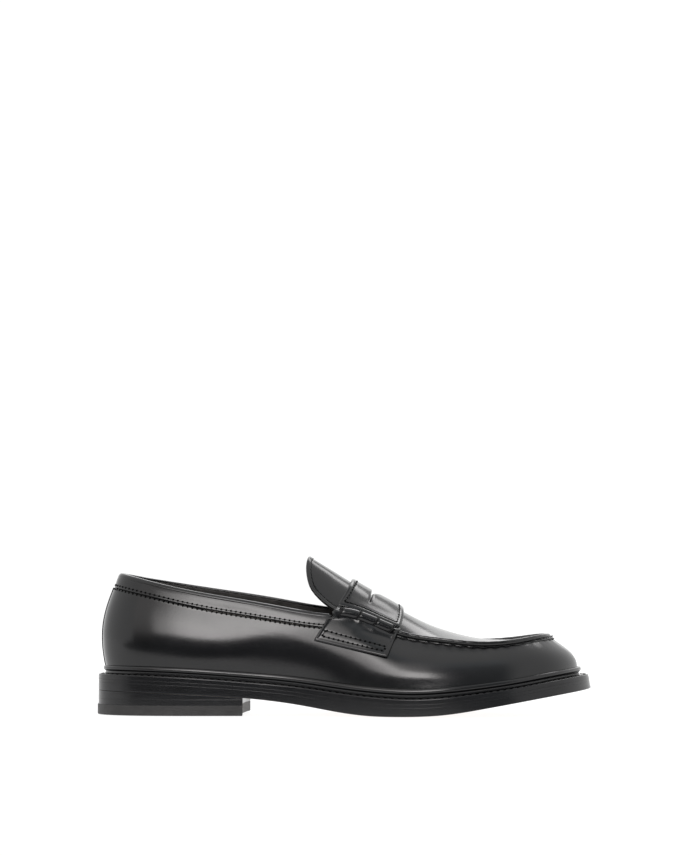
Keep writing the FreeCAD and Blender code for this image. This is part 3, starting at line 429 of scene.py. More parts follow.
def merge_points(points, normals, faces):
    """Joins points that coincide, so that a skin's inner seams aren't taken for its border."""
    keys = {}
    new_index = np.zeros(len(points), int)
    kept = []
    for i, p in enumerate(np.round(points / MERGE_WITHIN).astype(int)):
        key = tuple(p)
        if key not in keys:
            keys[key] = len(kept)
            kept.append(i)
        new_index[i] = keys[key]
    faces = clean_faces([[int(new_index[k]) for k in f] for f in faces])
    return points[kept], normals[kept], faces


def sweep(rings):
    """Tube through rings of points, capped with fans."""
    rings = np.asarray(rings, float)
    rows, columns = rings.shape[:2]
    faces = grid_faces(rows, columns, wrap_columns=True)
    verts = np.vstack([rings.reshape(-1, 3), rings[0].mean(0), rings[-1].mean(0)])
    for end, first in enumerate((0, (rows - 1) * columns)):
        hub = rows * columns + end
        for k in range(columns):
            faces.append([first + k, first + (k + 1) % columns, hub])
    return verts, faces


def join(parts):
    """One vertex and face list from several."""
    verts, faces, base = [], [], 0
    for v, f in parts:
        verts.append(v)
        faces += [[k + base for k in face] for face in f]
        base += len(v)
    return np.vstack(verts), faces


def tube(points, radius, normals=None, sides=8):
    """Round cord along a polyline; radius may vary along it."""
    along = unit(np.gradient(points, axis=0))
    if normals is None:
        guess = np.array([0.0, 0.0, 1.0])
        normals = np.where(np.abs(along @ guess)[:, None] > 0.95, np.array([0.0, 1.0, 0.0]), guess)
    side = unit(np.cross(along, normals))
    up = unit(np.cross(side, along))
    radius = np.broadcast_to(radius, (len(points),))[:, None]
    rings = []
    for k in range(sides):
        angle = 2 * math.pi * k / sides
        rings.append(points + (side * math.cos(angle) + up * math.sin(angle)) * radius)
    return sweep(np.stack(rings, axis=1))


def stitches(points, normals, pitch, length, radius, rise, closed=False, start=None):
    """Row of separate thread stitches on a line: each lies on the leather and dives in at its ends."""
    if closed:
        points, normals = np.vstack([points, points[:1]]), np.vstack([normals, normals[:1]])
    total = arc_length(points)[-1]
    count = max(1, int(round(total / pitch)) if closed else int((total - length) / pitch) + 1)
    pitch = total / count if closed else pitch
    begin = (total - (count - 1) * pitch - length) / 2 if start is None else start
    steps = np.linspace(0, 1, 7)
    parts = []
    for k in range(count):
        at = begin + k * pitch + steps * length
        line, up = resample(points, at, (normals,))
        up = unit(up)
        arch = 1 - (2 * steps - 1) ** 4
        line = line + up * (rise * arch - radius * 0.9 * (1 - arch))[:, None]
        parts.append(tube(line, radius * (0.6 + 0.4 * arch), up, sides=7))
    return parts


def holes(points, normals, pitch, first, size):
    """Needle holes along a line: small near-black discs sunk into the leather, painted shade of the holes."""
    total = arc_length(points)[-1]
    count = int((total - first) / pitch) + 1
    at = first + np.arange(count) * pitch
    at = at[at <= total]
    centre, up = resample(points, at, (normals,))
    ahead = resample(points, np.minimum(at + 0.5, total))[0] - resample(points, np.maximum(at - 0.5, 0))[0]
    up, along = unit(up), unit(ahead)
    side = unit(np.cross(along, up))
    parts = []
    for c, n, a, s in zip(centre, up, along, side):
        rings = []
        for depth, width in ((0.06, 0.15), (0.08, 0.75), (0.0, 1.0), (-0.5, 0.8), (-0.8, 0.2)):
            angle = np.linspace(0, 2 * math.pi, 9)[:-1]
            ring = c + n * (depth * size * 2)
            ring = ring + (np.outer(np.cos(angle), a) + np.outer(np.sin(angle), s)) * (width * size / 2)
            rings.append(ring)
        parts.append(sweep(rings))
    return parts


# ---- Materials ----
class Shader:
    """Small wrapper for building a node material."""

    def __init__(self, name):
        self.material = bpy.data.materials.new(name)
        self.material.use_nodes = True
        self.nodes, self.links = self.material.node_tree.nodes, self.material.node_tree.links
        self.surface = self.nodes["Principled BSDF"]
        self.place = self.node("ShaderNodeTexCoord").outputs["Object"]

    def node(self, kind, **inputs):
        made = self.nodes.new(kind)
        for key, value in inputs.items():
            made.inputs[key.replace("_", " ")].default_value = value
        return made

    def set(self, **inputs):
        for key, value in inputs.items():
            self.surface.inputs[key.replace("_", " ")].default_value = value

    def stretched(self, scale):
        mapping = self.node("ShaderNodeMapping")
        mapping.inputs["Scale"].default_value = scale
        self.links.new(self.place, mapping.inputs["Vector"])
        return mapping.outputs["Vector"]

    def noise(self, scale, detail=3.0, roughness=0.5, vector=None):
        made = self.node("ShaderNodeTexNoise", Scale=scale, Detail=detail, Roughness=roughness)
        self.links.new(vector or self.place, made.inputs["Vector"])
        return made.outputs["Fac"]

    def voronoi(self, scale):
        made = self.node("ShaderNodeTexVoronoi", Scale=scale)
        self.links.new(self.place, made.inputs["Vector"])
        return made.outputs["Distance"]

    def ramp(self, factor, stops):
        made = self.node("ShaderNodeValToRGB")
        ramp = made.color_ramp
        while len(ramp.elements) < len(stops):
            ramp.elements.new(0.5)
        for element, (position, colour) in zip(ramp.elements, stops):
            element.position = position
            element.color = (*colour, 1.0) if len(colour) == 3 else colour
        self.links.new(factor, made.inputs["Fac"])
        return made.outputs["Color"]

    def colour(self, socket):
        self.links.new(socket, self.surface.inputs["Base Color"])

    def roughness(self, factor, low, high):
        made = self.node("ShaderNodeMapRange")
        made.inputs["To Min"].default_value, made.inputs["To Max"].default_value = low, high
        self.links.new(factor, made.inputs["Value"])
        self.links.new(made.outputs["Result"], self.surface.inputs["Roughness"])

    def bumps(self, *layers):
        """Each layer is (height, strength, distance in metres), coarse first."""
        normal = None
        for height, strength, distance in layers:
            bump = self.node("ShaderNodeBump", Strength=strength, Distance=distance)
            self.links.new(height, bump.inputs["Height"])
            if normal:
                self.links.new(normal, bump.inputs["Normal"])
            normal = bump.outputs["Normal"]
        self.links.new(normal, self.surface.inputs["Normal"])


def surface(name, specular, colour, roughness, bumps=(), metallic=0.0):
    """Material whose colour, roughness and bumps all follow textures fixed to the object.

    A texture is a noise's (scale, detail, roughness), ("twist", scale), "streaks", or the scale of
    cells alone. Colour is (texture, stops), roughness (texture, low, high), and each bump (texture,
    strength, distance), where the texture "same" is the colour's.
    """
    s = Shader(name)
    s.set(Specular_IOR_Level=specular, Metallic=metallic)

    def texture(source):
        if source == "streaks":
            return s.noise(1.0, 5.0, 0.6, s.stretched((70.0, 70.0, 1500.0)))
        if isinstance(source, tuple) and source[0] == "twist":
            twist = s.node("ShaderNodeTexWave", Scale=source[1], Distortion=2.0, Detail=1.0)
            s.links.new(s.place, twist.inputs["Vector"])
            return twist.outputs["Fac"]
        return s.noise(*source) if isinstance(source, tuple) else s.voronoi(source)

    pattern = texture(colour[0])
    s.colour(s.ramp(pattern, colour[1]))
    s.roughness(texture(roughness[0]), *roughness[1:])
    if bumps:
        s.bumps(*[(pattern if b[0] == "same" else texture(b[0]), *b[1:]) for b in bumps])
    return s.material


def hidden_material(name, low, high, roughness, scale, metallic=0.0):
    spread = (scale * 3, 3.0), roughness - 0.08, roughness + 0.08
    tone = (scale, 5.0), [(0.3, low), (0.7, high)]
    return surface(name, 0.5, tone, spread, [(scale * 4, 0.3, 0.0003)], metallic)


LEATHER_MAT = surface(
    "polished_black_leather", 0.5,
    ((45.0, 4.0), [(0.3, (0.002, 0.002, 0.0025)), (0.7, (0.0045, 0.0045, 0.005))]),
    ((120.0, 5.0), 0.15, 0.21),
    [((28.0, 2.0), 0.2, 0.0012), ((650.0, 4.0, 0.6), 0.08, 0.00025), (1900.0, 0.04, 0.00012)],
)
EDGE_MAT = surface(
    "burnished_sole_edge", 0.4, ("streaks", [(0.35, (0.003, 0.003, 0.0035)), (0.7, (0.008, 0.008, 0.009))]),
    ((200.0, 4.0), 0.15, 0.23), [("same", 0.05, 0.00003), ((1400.0, 3.0), 0.08, 0.00004)],
)
SOLE_MAT = surface(
    "tan_sole_leather", 0.4,
    ((90.0, 6.0, 0.65), [(0.25, (0.30, 0.155, 0.07)), (0.55, (0.41, 0.235, 0.115)), (0.8, (0.5, 0.31, 0.17))]),
    ((300.0, 4.0), 0.38, 0.6), [((60.0, 3.0), 0.15, 0.0008), (1500.0, 0.12, 0.00015)],
)
LINING_MAT = surface(
    "black_lining_leather", 0.4, ((160.0, 5.0), [(0.3, (0.018, 0.017, 0.016)), (0.7, (0.04, 0.037, 0.034))]),
    ((400.0, 3.0), 0.5, 0.68), [((55.0, 2.0), 0.2, 0.0008), (1600.0, 0.2, 0.0002)],
)
RUBBER_MAT = surface(
    "black_heel_rubber", 0.4, ((140.0, 4.0), [(0.3, (0.014, 0.0135, 0.0135)), (0.7, (0.025, 0.024, 0.024))]),
    ((500.0, 3.0), 0.42, 0.58), [((900.0, 3.0), 0.25, 0.00015)],
)
THREAD_MAT = surface(
    "waxed_black_thread", 0.22,
    (("twist", 900.0), [(0.2, (0.004, 0.004, 0.004)), (0.8, (0.016, 0.016, 0.017))]),
    ((700.0, 2.0), 0.4, 0.6), [("same", 0.5, 0.00012)],
)
TAN_THREAD_MAT = surface(
    "waxed_tan_thread", 0.4, (("twist", 700.0), [(0.2, (0.38, 0.24, 0.12)), (0.8, (0.62, 0.45, 0.27))]),
    ((700.0, 2.0), 0.45, 0.6), [("same", 0.5, 0.00012)],
)
# Near-black matte colour for the needle-hole discs: painted shade of the holes.
HOLE_SHADE_MAT = surface(
    "needle_hole_shadow", 0.05, ((900.0,), [(0.3, (0.001, 0.001, 0.001)), (0.7, (0.003, 0.003, 0.003))]),
    ((500.0,), 0.85, 0.95),
)


# ---- Sole ----
HALF = 180  # steps round each side of the shoe
RING_U = np.concatenate([np.linspace(0, TOE_TIP, HALF + 1)[:-1], np.linspace(TOE_TIP, 1.0, HALF + 1)[:-1]])
RING = len(RING_U)
TOE_LEAN = 1.4


def at_toe(u):
    away = np.abs(np.asarray(u, float) - TOE_TIP)
    return np.where(away < 0.12, np.cos(np.pi * away / 0.24), 0.0)


def sole_ring(share, inset, rise=0.0, u=RING_U):
    """Ring round the sole edge: share of its height, distance in from its face, and extra height."""
    edge = overhang(u) - TOE_LEAN * share * at_toe(u) - inset
    ring = feather(u, edge)
    bottom, top = sole_bottom(ring[..., 0]), sole_top(ring[..., 0])
    ring[..., 2] = bottom + share * (top - bottom) + rise
    return ring


PLATE_COLUMNS = 16


def plate(rings, low_height, high_height):
    """Closed solid from rings stacked from its underside to its top side, with a surface across each end."""
    rings = [np.asarray(r, float) for r in rings]
    count = len(rings[0])
    verts = list(rings)
    faces = grid_faces(len(rings), count, wrap_columns=True)
    base = len(rings) * count
    for which, height_of in ((0, low_height), (len(rings) - 1, high_height)):
        ring = rings[which]
        offset = which * count
        half = count // 2
        shares = np.linspace(0, 1, PLATE_COLUMNS + 1)[1:-1]
        index = np.zeros((half + 1, PLATE_COLUMNS + 1), int)
        inner = []
        for r in range(half + 1):
            left, right = r, (count - r) % count
            index[r, 0], index[r, -1] = offset + left, offset + right
            if r in (0, half):
                index[r, :] = offset + left
                continue
            across = ring[left] * (1 - shares[:, None]) + ring[right] * shares[:, None]
            edge_z = across[:, 2].copy()
            blend = np.minimum(1.0, np.minimum(shares, 1 - shares) * 4)
            across[:, 2] = edge_z * (1 - blend) + height_of(across[:, 0], across[:, 1]) * blend
            index[r, 1:-1] = base + len(inner) * (PLATE_COLUMNS - 1) + np.arange(PLATE_COLUMNS - 1)
            inner.append(across)
        verts.append(np.vstack(inner))
        base += len(inner) * (PLATE_COLUMNS - 1)
        for r in range(half):
            for c in range(PLATE_COLUMNS):
                quad = [index[r, c], index[r, c + 1], index[r + 1, c + 1], index[r + 1, c]]
                faces += clean_faces([[int(k) for k in quad]])
    return np.vstack(verts), faces


def level(share, rise=0.0):
    return lambda x, y: sole_bottom(x) + share * (sole_top(x) - sole_bottom(x)) + rise


OUT_SHARE, MID_SHARE = 0.5, 0.7


def build_sole():
    channel = 6.5
    profile = [
        (0, channel + 14, 0.0), (0, channel + 3, 0.0), (0, channel + 1.1, 0.0), (0, channel + 0.8, 0.35),
        (0, channel - 0.8, 0.35), (0, channel - 1.1, 0.0), (0, 3.2, 0.0), (0, 1.2, 0.05), (0, 0.4, 0.1),
        (0, 0.08, 0.22), (0, 0.0, 0.5), (0, 0.0, 0.7), (OUT_SHARE, 0.0, -0.15), (OUT_SHARE, 0.0, -0.05),
        (OUT_SHARE, 0.02, -0.015), (OUT_SHARE, 0.1, 0.0), (OUT_SHARE, 3.0, 0.0),
    ]
    rings = [sole_ring(*place) for place in profile]
    tread = plate(rings, level(0), level(OUT_SHARE))
    sole = make_piece("leather_outsole", *tread, SOLE_MAT, "sole_leather", ("outsole",))
    sole.data.materials.append(EDGE_MAT)
    for poly in sole.data.polygons:
        centre = poly.center / MM
        if poly.normal.z > -0.96 or centre.z > float(sole_bottom(centre.x)) + 0.74:
            poly.material_index = 1

    half = [(3.0, 0.03), (0.1, 0.02), (0.02, 0.035), (0.0, 0.07), (0.0, 0.17)]
    rings = [sole_ring(OUT_SHARE, inset, rise) for inset, rise in half]
    rings += [sole_ring(MID_SHARE, inset, -rise) for inset, rise in half[::-1]]
    verts, faces = plate(rings, level(OUT_SHARE, 0.03), level(MID_SHARE, -0.03))
    make_piece("leather_midsole", verts, faces, EDGE_MAT, "sole_edge_leather", ("midsole",))

    # Welt: a ring, with a sewn groove and a wheeled edge on top.
    wheel = 0.05 * (0.5 + 0.5 * np.cos(2 * np.pi * wheel_phase()))
    profile = [
        (MID_SHARE, None, 0.02), (MID_SHARE, 0.1, 0.02), (MID_SHARE, 0.02, 0.035), (MID_SHARE, 0.0, 0.07),
        (MID_SHARE, 0.0, 0.17), (1.0, 0.0, -0.75), (1.0, 0.0, -0.62), (1.0, 0.06, -0.3), (1.0, 0.25, -0.08),
        (1.0, 0.55, 0.0), (1.0, 1.05, 0.0),
        (1.0, 1.25, -0.1), (1.0, 1.5, -0.32), (1.0, 2.1, -0.32), (1.0, 2.35, -0.1), (1.0, 2.6, 0.0),
        (1.0, 3.2, 0.0), (1.0, None, 0.0),
    ]
    rings = []
    for share, inset, rise in profile:
        if inset is None:
            ring = feather(RING_U, -5.9)
            bottom, top = sole_bottom(ring[..., 0]), sole_top(ring[..., 0])
            ring[..., 2] = bottom + share * (top - bottom) + rise
        else:
            ring = sole_ring(share, inset, rise)
            if share == 1.0 and 0.0 < inset < 1.2:
                ring[..., 2] -= wheel
        rings.append(ring)
    verts = np.vstack(rings)
    faces = grid_faces(len(rings), RING, wrap_rows=True, wrap_columns=True)
    make_piece("storm_welt", verts, faces, EDGE_MAT, "sole_edge_leather", ("welt",))


def wheel_phase():
    """Steps of the fudge wheel round the welt's edge."""
    ring = sole_ring(1.0, 0.0)
    length = arc_length(ring, closed=True)
    return length[:-1] / length[-1] * 175


def fine_u(count):
    return np.linspace(0.0, 1.0, count + 1)[:-1]


def build_welt_stitches():
    u = fine_u(900)
    line = sole_ring(1.0, 1.8, -0.32, u)
    up = np.tile([0.0, 0.0, 1.0], (len(u), 1))
    parts = stitches(line, up, 4.2, 3.5, 0.42, 0.3, closed=True)
    make_joined("welt_stitching", parts, THREAD_MAT, "sole_edge_leather")
    line = sole_ring(0.0, 6.5, 0.35, u)
    keep = line[:, 0] > -54
    start = int(np.argmax(keep & ~np.roll(keep, 1)))
    line = np.roll(line, -start, axis=0)[: int(keep.sum())]
    parts = stitches(line, -up[: len(line)], 3.6, 3.1, 0.34, 0.12)
    make_joined("outsole_stitching", parts, TAN_THREAD_MAT, "sole_leather")


def build_rand():
    u = fine_u(520)
    base = feather(u)
    out = plan_normal(feather_x, feather_y, u)
    tall = 6.0 - (base[:, 0] / 150.0) ** 2  # one mm less at the toe
    # Cross-section: distance out from the foot of the wall, and share of the height above the welt.
    section = [
        (0.2, 0.0), (1.55, 0.0), (1.5, 0.2), (1.45, 0.36), (1.6, 0.43), (2.05, 0.47), (2.4, 0.53),
        (2.58, 0.62), (2.6, 0.72), (2.5, 0.82), (2.25, 0.91), (1.85, 0.975), (1.4, 1.0), (1.0, 0.985),
        (0.72, 0.94), (0.55, 0.85),
    ]
    rings = []
    for away, share in section:
        ring = base + out * away
        ring[:, 2] = sole_top(ring[:, 0]) + share * tall
        if away < 1.5:
            clear = wall_reach(u, ring[:, 2]) - 0.25
            push = np.maximum(away, clear) - away
            ring[:, :2] += out[:, :2] * push[:, None]
        rings.append(ring)
    verts = np.vstack(rings)
    faces = grid_faces(len(rings), len(u), wrap_rows=True, wrap_columns=True)
    make_piece("storm_rand", verts, faces, LEATHER_MAT, "upper_leather", ("rand",))


def wall_reach(u, z):
    """How far outside the feather line the wall stands at a given height."""
    low, high = np.zeros_like(u), np.full_like(u, 0.6)
    for _ in range(18):
        v = (low + high) / 2
        below = wall(u, v)[..., 2] < z
        low, high = np.where(below, v, low), np.where(below, high, v)
    foot = feather(u)
    out = plan_normal(feather_x, feather_y, u)
    return np.sum((wall(u, v) - foot)[..., :2] * out[..., :2], axis=-1)


# ---- Heel ----
BREAST_OUTER, BREAST_INNER, BREAST_HOLLOW = -60.0, -58.3, 2.0


def heel_outline(grow=0.0):
    """Closed outline of the heel in plan, with the points of its breast last."""
    u = fine_u(2400)
    edge = feather(u, overhang(u) + grow)[:, :2]
    side = u < 0.5
    keep = np.where(side, edge[:, 0] < BREAST_OUTER, edge[:, 0] < BREAST_INNER)
    start = int(np.argmax(keep & ~np.roll(keep, 1)))
    rear = np.roll(edge, -start, axis=0)[: int(keep.sum())]
    rear3 = np.column_stack([rear, np.zeros(len(rear))])
    total = arc_length(rear3)[-1]
    rear = resample(rear3, np.linspace(0, total, 150))[0][:, :2]
    share = np.linspace(0, 1, 26)[1:-1, None]
    breast = rear[-1] * (1 - share) + rear[0] * share
    breast[:, 0] -= BREAST_HOLLOW * 4 * (share * (1 - share))[:, 0]
    return np.vstack([rear, breast])


def outline_inward(outline):
    """Unit directions into a closed outline, lengthened at its corners."""
    ahead = np.roll(outline, -1, 0) - outline
    behind = outline - np.roll(outline, 1, 0)

    def left(v):
        v = v / np.linalg.norm(v, axis=1, keepdims=True)
        return np.column_stack([-v[:, 1], v[:, 0]])

    a, b = left(ahead), left(behind)
    total = a + b
    area = np.sum(outline[:, 0] * np.roll(outline[:, 1], -1) - np.roll(outline[:, 0], -1) * outline[:, 1])
    scale = 2 / np.maximum(np.sum(total * total, axis=1, keepdims=True), 0.8)
    return total * scale * (1 if area > 0 else -1)


def stack_block(levels, grow=0.0):
    """Block on the heel outline: levels of (height, inset), the height a number or a function of x."""
    outline = heel_outline(grow)
    inward = outline_inward(outline)
    rings = []
    for height, inset in levels:
        flat = outline + inward * inset
        z = height(flat[:, 0]) if callable(height) else np.full(len(flat), float(height))
        rings.append(np.column_stack([flat, z]))
    count = len(outline)
    verts = np.vstack(rings)
    faces = grid_faces(len(rings), count, wrap_columns=True)
    faces.append(list(range(count))[::-1])
    faces.append([(len(rings) - 1) * count + k for k in range(count)])
    return verts, faces


def build_heel():
    verts, faces = stack_block([(0.0, 1.6), (0.0, 0.55), (0.12, 0.22), (0.45, 0.0), (0.6, 0.0), (5.95, 0.0),
                                (6.08, 0.0), (6.15, 0.05), (6.18, 0.3)], grow=0.5)
    make_piece("rubber_top_piece", verts, faces, RUBBER_MAT, "heel_rubber", ("heel_top_piece",), 35)
    verts, faces = stack_block([(6.19, 0.4), (6.2, 0.05), (6.25, 0.0), (6.35, 0.0), (9.43, 0.0),
                                (9.53, 0.0), (9.57, 0.02), (9.585, 0.3)])
    make_piece("leather_lift", verts, faces, EDGE_MAT, "sole_edge_leather", ("heel_lift_lower",), 35)

    def under(drop):
        return lambda x: np.maximum(sole_bottom(x) - drop, 9.72)

    verts, faces = stack_block([(9.595, 0.3), (9.61, 0.02), (9.65, 0.0), (9.71, 0.0), (under(0.16), 0.0),
                                (under(0.06), 0.0), (under(0.025), 0.02), (under(0.01), 0.3)])
    make_piece("leather_wedge_lift", verts, faces, EDGE_MAT, "sole_edge_leather", ("heel_lift_wedge",), 35)


# ---- Upper ----
def seam_lift(u):
    return np.minimum(
        smooth(u, SEAM_START_OUTER - 0.005, SEAM_START_OUTER + 0.02),
        smooth(-np.asarray(u), -SEAM_START_INNER - 0.005, -SEAM_START_INNER + 0.02),
    )


def body_ripple(points):
    """Slow unevenness of leather pulled over a last, in mm."""
    x, y, z = points[..., 0], points[..., 1], points[..., 2]
    wave = np.sin(x * 0.061 + z * 0.043 + 0.7) + 0.6 * np.sin(x * 0.117 - z * 0.09 + y * 0.05 + 2.1)
    # The outer ball swells a little above the welt.
    ball = np.where(y < 0, np.exp(-(((x - 50.0) / 24.0) ** 2)), 0.0)
    swell = 0.35 * np.sin((z - 21.0) * 0.3) * np.exp(-(((z - 22.0) / 9.0) ** 2))
    return 0.10 * wave + ball * swell


EDGE_ROWS = np.array([0.0, 0.12, 0.28, 0.5, 0.8, 1.1, 1.35, 1.6, 1.9, 2.3, 2.9, 3.8, 5.2, 7.2, 9.6])


def edge_roll(distance):
    """Height of leather over distance from its seamed edge: nearly flat, the edge just turned down."""
    d = np.asarray(distance, float)
    return 0.04 * np.exp(-(((d - 0.6) / 0.5) ** 2)) - 0.08 * np.exp(-((d / 0.3) ** 2))


def folded_edge(distance):
    """Height of a folded and stitched strap edge over distance from it: a roll, a stitch line, a rise."""
    d = np.asarray(distance, float)
    roll = 0.26 * np.exp(-(((d - 0.75) / 0.5) ** 2))
    dip = -0.16 * np.exp(-(((d - 2.0) / 0.45) ** 2))
    return roll + dip


def build_wall():
    u = fine_u(560)
    lift = seam_lift(u)
    start = COLLAR_WIDTH + SEAM_GAP
    edge_down = start * (1 - lift) + 0.55 * lift
    down = edge_down[:, None] + EDGE_ROWS[None, :]
    v_edge = np.stack([v_below_top(u, down[:, k : k + 1])[:, 0] for k in range(down.shape[1])], axis=1)
    last = v_edge[:, -1:]
    body = last * np.linspace(1, 0, 27)[None, 1:]
    v = np.concatenate([v_edge, body], axis=1)
    uu = u[:, None] + 0 * v
    points = wall(uu, v)
    normals = wall_normal(uu, v)
    height = np.zeros(v.shape)
    height[:, : len(EDGE_ROWS)] = edge_roll(EDGE_ROWS)[None, :] * (1 - lift[:, None])
    height += pucker_field(uu, v, points)
    fade = smooth(v, 0.0, 0.25)
    height += body_ripple(points) * fade
    points = points + normals * height[..., None]
    faces = grid_faces(len(u), v.shape[1], wrap_rows=True)
    verts, faces = thicken(points.reshape(-1, 3), normals.reshape(-1, 3), faces, LEATHER, round_out=0.28)
    nodes = ("vamp_and_quarters",)
    make_piece("vamp_and_quarters_leather", verts, faces, LEATHER_MAT, "upper_leather", nodes)


HAND_PITCH = 6.9


def seam_phase(u):
    """Distance along the apron seam in hand stitches, for any u."""
    fine = np.linspace(SEAM_START_OUTER - 0.02, SEAM_START_INNER + 0.02, 1500)
    length = arc_length(seam_frame(fine)[0])
    return np.interp(u, fine, length) / HAND_PITCH


def pucker_field(u, v, points):
    """Small gathers that run down from the apron's hand stitches."""
    near_seam = seam_lift(u)
    down = np.linalg.norm(points - wall(u, np.ones_like(u)), axis=-1)
    wave = np.cos(2 * np.pi * seam_phase(u))
    return near_seam * wave * 0.09 * np.exp(-np.maximum(down - 2.0, 0) / 2.2)


def build_collar():
    start, end = SEAM_START_INNER + 0.006 - 1.0, SEAM_START_OUTER - 0.006
    u = np.linspace(start, end, 330)
    rows = np.concatenate([[0.75, 1.1, 1.6, 2.2, 3.0, 4.0, 5.0], COLLAR_WIDTH - SEAM_GAP - EDGE_ROWS[8::-1]])
    v = np.stack([v_below_top(u, np.array([d]))[:, 0] for d in rows], axis=1)
    uu = u[:, None] + 0 * v
    normals = wall_normal(uu, v)
    points = wall(uu, v)
    from_seam = COLLAR_WIDTH - SEAM_GAP - rows
    height = edge_roll(from_seam)[None, :] + body_ripple(points) + 0 * v
    puff = 0.25 * np.exp(-(((rows - 3.4) / 2.2) ** 2))
    height = height + puff[None, :]
    points = points + normals * height[..., None]
    make_skin("collar_band_leather", points, normals, LEATHER, LEATHER_MAT, "upper_leather",
              ("collar_band",), round_out=0.28)


def orient(points, normals, faces):
    """Turns all faces round if the first ones face against their normals."""
    a, b, c = (points[faces[len(faces) // 2][k]] for k in range(3))
    facing = np.dot(np.cross(b - a, c - a), normals[faces[len(faces) // 2][0]])
    return faces if facing > 0 else [f[::-1] for f in faces]


def collar_line(distance_down, offset):
    u = np.linspace(SEAM_START_INNER - 0.993, SEAM_START_OUTER - 0.007, 900)
    v = v_below_top(u, np.array([distance_down]))[:, 0]
    normals = wall_normal(u, v)
    points = wall_point(u, v, offset)
    return points + normals * body_ripple(points)[:, None], normals


STITCH_PITCH = 2.95


def thread_rows(name, rows, slot="upper_leather", pitch=STITCH_PITCH, radius=0.26, size=0.95):
    """Rows of machine stitches with their needle holes, each row (points, normals, rise)."""
    length = pitch - 0.55
    threads, sockets = [], []
    for points, normals, rise in rows:
        total = arc_length(points)[-1]
        count = int(total / pitch)
        begin = (total - count * pitch) / 2
        threads += stitches(points, normals, pitch, length, radius, rise, start=begin + (pitch - length) / 2)
        sockets += holes(points, normals, pitch, begin, size)
    make_joined(name, threads, THREAD_MAT, slot)
    # The needle holes are near-black discs: painted shade of the holes.
    make_joined(name + "_holes", sockets, HOLE_SHADE_MAT, slot)


def build_collar_stitches():
    upper = collar_line(COLLAR_WIDTH - SEAM_GAP - 1.3, 0.06)
    lower = collar_line(COLLAR_WIDTH + SEAM_GAP + 0.5, 0.02)
    thread_rows("collar_stitching", [(*upper, -0.08), (*lower, -0.08)], radius=0.22, size=1.35)


def build_binding():
    start, end = SEAM_START_INNER + 0.008 - 1.0, SEAM_START_OUTER - 0.008
    u = np.linspace(start, end, 330)
    half = ALL_LAYERS / 2
    centre = wall_point(u, np.ones_like(u), -half)
    out = plan_normal(top_x, top_y, u)
    down = unit(wall(u, np.full_like(u, 0.9)) - wall(u, np.ones_like(u)))
    # Cross-section: distance out from the middle of the layers, and distance up along the wall.
    section = [
        (half - 0.9, -1.2), (half + 0.22, -1.2), (half + 0.38, -0.95), (half + 0.36, -0.3),
        (half + 0.15, 0.5), (half - 0.35, 1.05), (half - 1.1, 1.28), (-half + 1.5, 1.24),
        (-half + 0.7, 1.0), (-half + 0.25, 0.6), (-half + 0.1, 0.2), (-half + 0.15, -0.5), (-half + 0.5, -0.8), (-half + 0.8, -0.8),
    ]
    rings = np.stack([centre + out * a - down * b for a, b in section], axis=1)
    verts, faces = sweep(rings)
    make_piece("topline_fold", verts, faces, LEATHER_MAT, "upper_leather", ("topline_binding",))


def build_heel_strip():
    length = 700.0
    half = 2.2 / length
    u = np.linspace(-half, half, 13)
    v_top = v_below_top(np.array([0.0]), np.array([COLLAR_WIDTH + 0.6]))[0, 0]
    v = np.linspace(0.05, v_top, 60)
    uu, vv = np.meshgrid(u, v, indexing="ij")
    normals = wall_normal(uu, vv)
    across = np.abs(uu) / half
    height = 0.85 - 0.25 * np.exp(-(((across - 0.62) / 0.16) ** 2))
    points = wall_point(uu, vv, height)
    make_skin("heel_strip_leather", points, normals, 0.8, LEATHER_MAT, "upper_leather", ("heel_seam_strip",))
    rows = []
    for side in (-1, 1):
        us = np.full(200, side * half * 0.62)
        vs = np.linspace(0.07, v_top * 0.99, 200)
        rows.append((wall_point(us, vs, 0.6), wall_normal(us, vs), 0.18))
    thread_rows("heel_strip_stitching", rows, pitch=2.6, radius=0.2, size=0.45)


def build_linings():
    outside = -(LEATHER + STIFFENER + 2 * GLUE)
    u = np.linspace(-0.26, 0.30, 300)
    v = np.linspace(0.004, 0.997, 40)
    uu, vv = np.meshgrid(u, v, indexing="ij")
    normals = wall_normal(uu, vv)
    points = wall_point(uu, vv, outside) + normals * (body_ripple(wall(uu, vv)) * 0.6)[..., None]
    make_skin("quarter_lining_leather", points, normals, LINING, LINING_MAT, "lining_leather",
              ("quarter_lining",))

    inside = outside - LINING
    u = np.linspace(-0.05, 0.05, 70)
    v = np.linspace(0.30, 0.90, 50)
    uu, vv = np.meshgrid(u, v, indexing="ij")
    edge = np.minimum(1 - np.abs(uu) / 0.05, np.minimum(vv - 0.30, 0.90 - vv) / 0.3)
    height = inside - 0.15 - 0.5 * smooth(edge, 0, 0.25)
    points = wall_point(uu, vv, height + 0.55)
    normals = wall_normal(uu, vv)
    make_skin("heel_grip_suede", points, normals, 0.7, LINING_MAT, "lining_leather", ("heel_grip",))
    # A line of stitches that holds the lining, below the fold of the top line.
    line_u = np.linspace(-0.25, 0.29, 900)
    line_v = v_below_top(line_u, np.array([4.4]))[:, 0]
    points = wall_point(line_u, line_v, inside - 0.02)
    thread_rows("lining_stitching", [(points, -wall_normal(line_u, line_v), 0.1)], "lining_leather")


